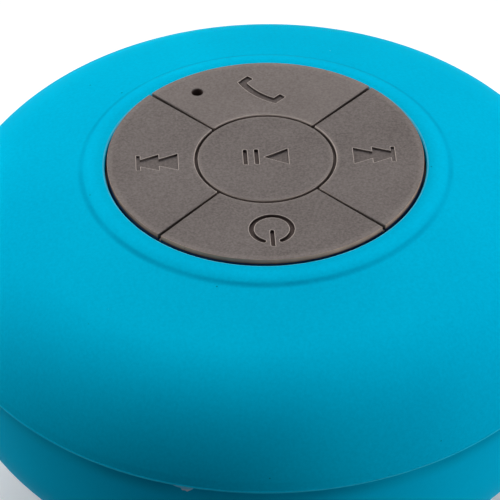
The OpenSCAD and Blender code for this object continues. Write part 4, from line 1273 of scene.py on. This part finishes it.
def ribbonFinish(name, look):
    material, tree, shader, place = startMaterial(name)
    rows = addNode(tree, "TexWave", {
        "Vector": place, "Scale": perPitch(look["pitch"])}, bands_direction="X")
    low, high = look["edge"]
    strip = addNode(tree, "MapRange", {"Value": rows.outputs[1], "From Min": low, "From Max": high})
    finishSkin(tree, shader, strip, strip, look, {"Roughness": look["roughness"], "IOR": look["ior"]})
    return material


# what each material slot of the CAD nodes is finished in
finishes = {
    "cover_rubber": coverRubber,
    "base_plastic": basePlastic,
    "key_rubber": keyRubber,
    "cup_vinyl": cupVinyl,
    "frame_plastic": mouldedFinish("absBlackMoulded", frameLook),
    "chip_plastic": mouldedFinish("epoxyBlackMoulded", chipLook),
    "seal_rubber": mouldedFinish("nitrileBlackMoulded", sealLook),
    "foam_tape": mouldedFinish("evaFoamSliced", foamLook),
    "red_lead": mouldedFinish("pvcRedExtruded", redLeadLook),
    "black_lead": mouldedFinish("pvcBlackExtruded", blackLeadLook),
    "terminal_fibre": mouldedFinish("phenolicPaperPressed", fibreLook),
    "magnet": mouldedFinish("ferriteGround", ferriteLook),
    "cone_paper": mouldedFinish("paperPulpPressed", paperLook),
    "switch_case": metalFinish("steelTinned", tinLook),
    "screw_steel": metalFinish("steelZincPlated", zincLook),
    "mic_can": metalFinish("nickelSilverDrawn", nickelLook),
    "cell_pouch": metalFinish("aluminiumFoilFormed", pouchLook),
    "socket_steel": metalFinish("stainlessSteelRolled", socketLook),
    "driver_steel": metalFinish("steelStampedZinc", stampedLook),
    "coil_copper": metalFinish("copperWireWound", coilLook),
    "spider_cloth": wovenFinish("cottonResinWoven", spiderLook),
    "mesh_cloth": wovenFinish("polyesterNetWoven", netLook),
    "circuit_board": boardFinish("glassEpoxyEtched", boardLook),
    "ribbon": ribbonFinish("polyesterFilmLaminated", ribbonLook),
}

# the two rings of the driver that flex with the cone, which they follow at one height; at the other they
# stay with the housing
flexes = {
    "spiderCloth": {
        "node": "driver_spider", "slot": "spider_cloth", "cone": 27.45, "still": 28.15, "steps": 96,
        "start": (6.95, 27.1), "moves": [
            (6.95, 27.4), (7.85, 27.66), (8.75, 27.92), (9.65, 28.19), (10.55, 28.45, 0.4),
            (12.15, 28.45), (12.15, 28.2), (10.65, 28.2, 0.4), (9.72, 27.92), (8.8, 27.65),
            (7.87, 27.37)],
    },
    "surroundRubber": {
        "node": "driver_surround", "slot": "seal_rubber", "cone": 23.0, "still": 22.0, "steps": 128,
        "start": (15.65, 23.35), "moves": [
            (15.65, 23.75), (16.45, 23.66), (17.25, 23.5, 0.4), (17.7, 22.7), (17.9, 22.3),
            (18.15, 21.9, 0.2), (18.55, 21.9), (18.55, 21.05), (17.85, 21.05), (17.85, 21.5),
            (17.6, 21.95), (17.4, 22.3), (16.95, 23.1, 0.35), (16.3, 23.23)],
    },
}
for name, flex in flexes.items():
    bm = bmesh.new()
    traceClosed(bm, flex["start"], flex["moves"])
    latheProfile(bm, flex["steps"])
    between = ("cone_set", "housing", up * flex["cone"] * mm, up * flex["still"] * mm)
    finishPiece(bm, name, between, finishes[flex["slot"]], [flex["node"]])

for part in frame["record"]["subparts"]:
    for materialSlot in cadNodes[part["node"]].material_slots:
        materialSlot.material = finishes[part["material_slot"]]
print("finishes put on", len(cadNodes), "CAD nodes")
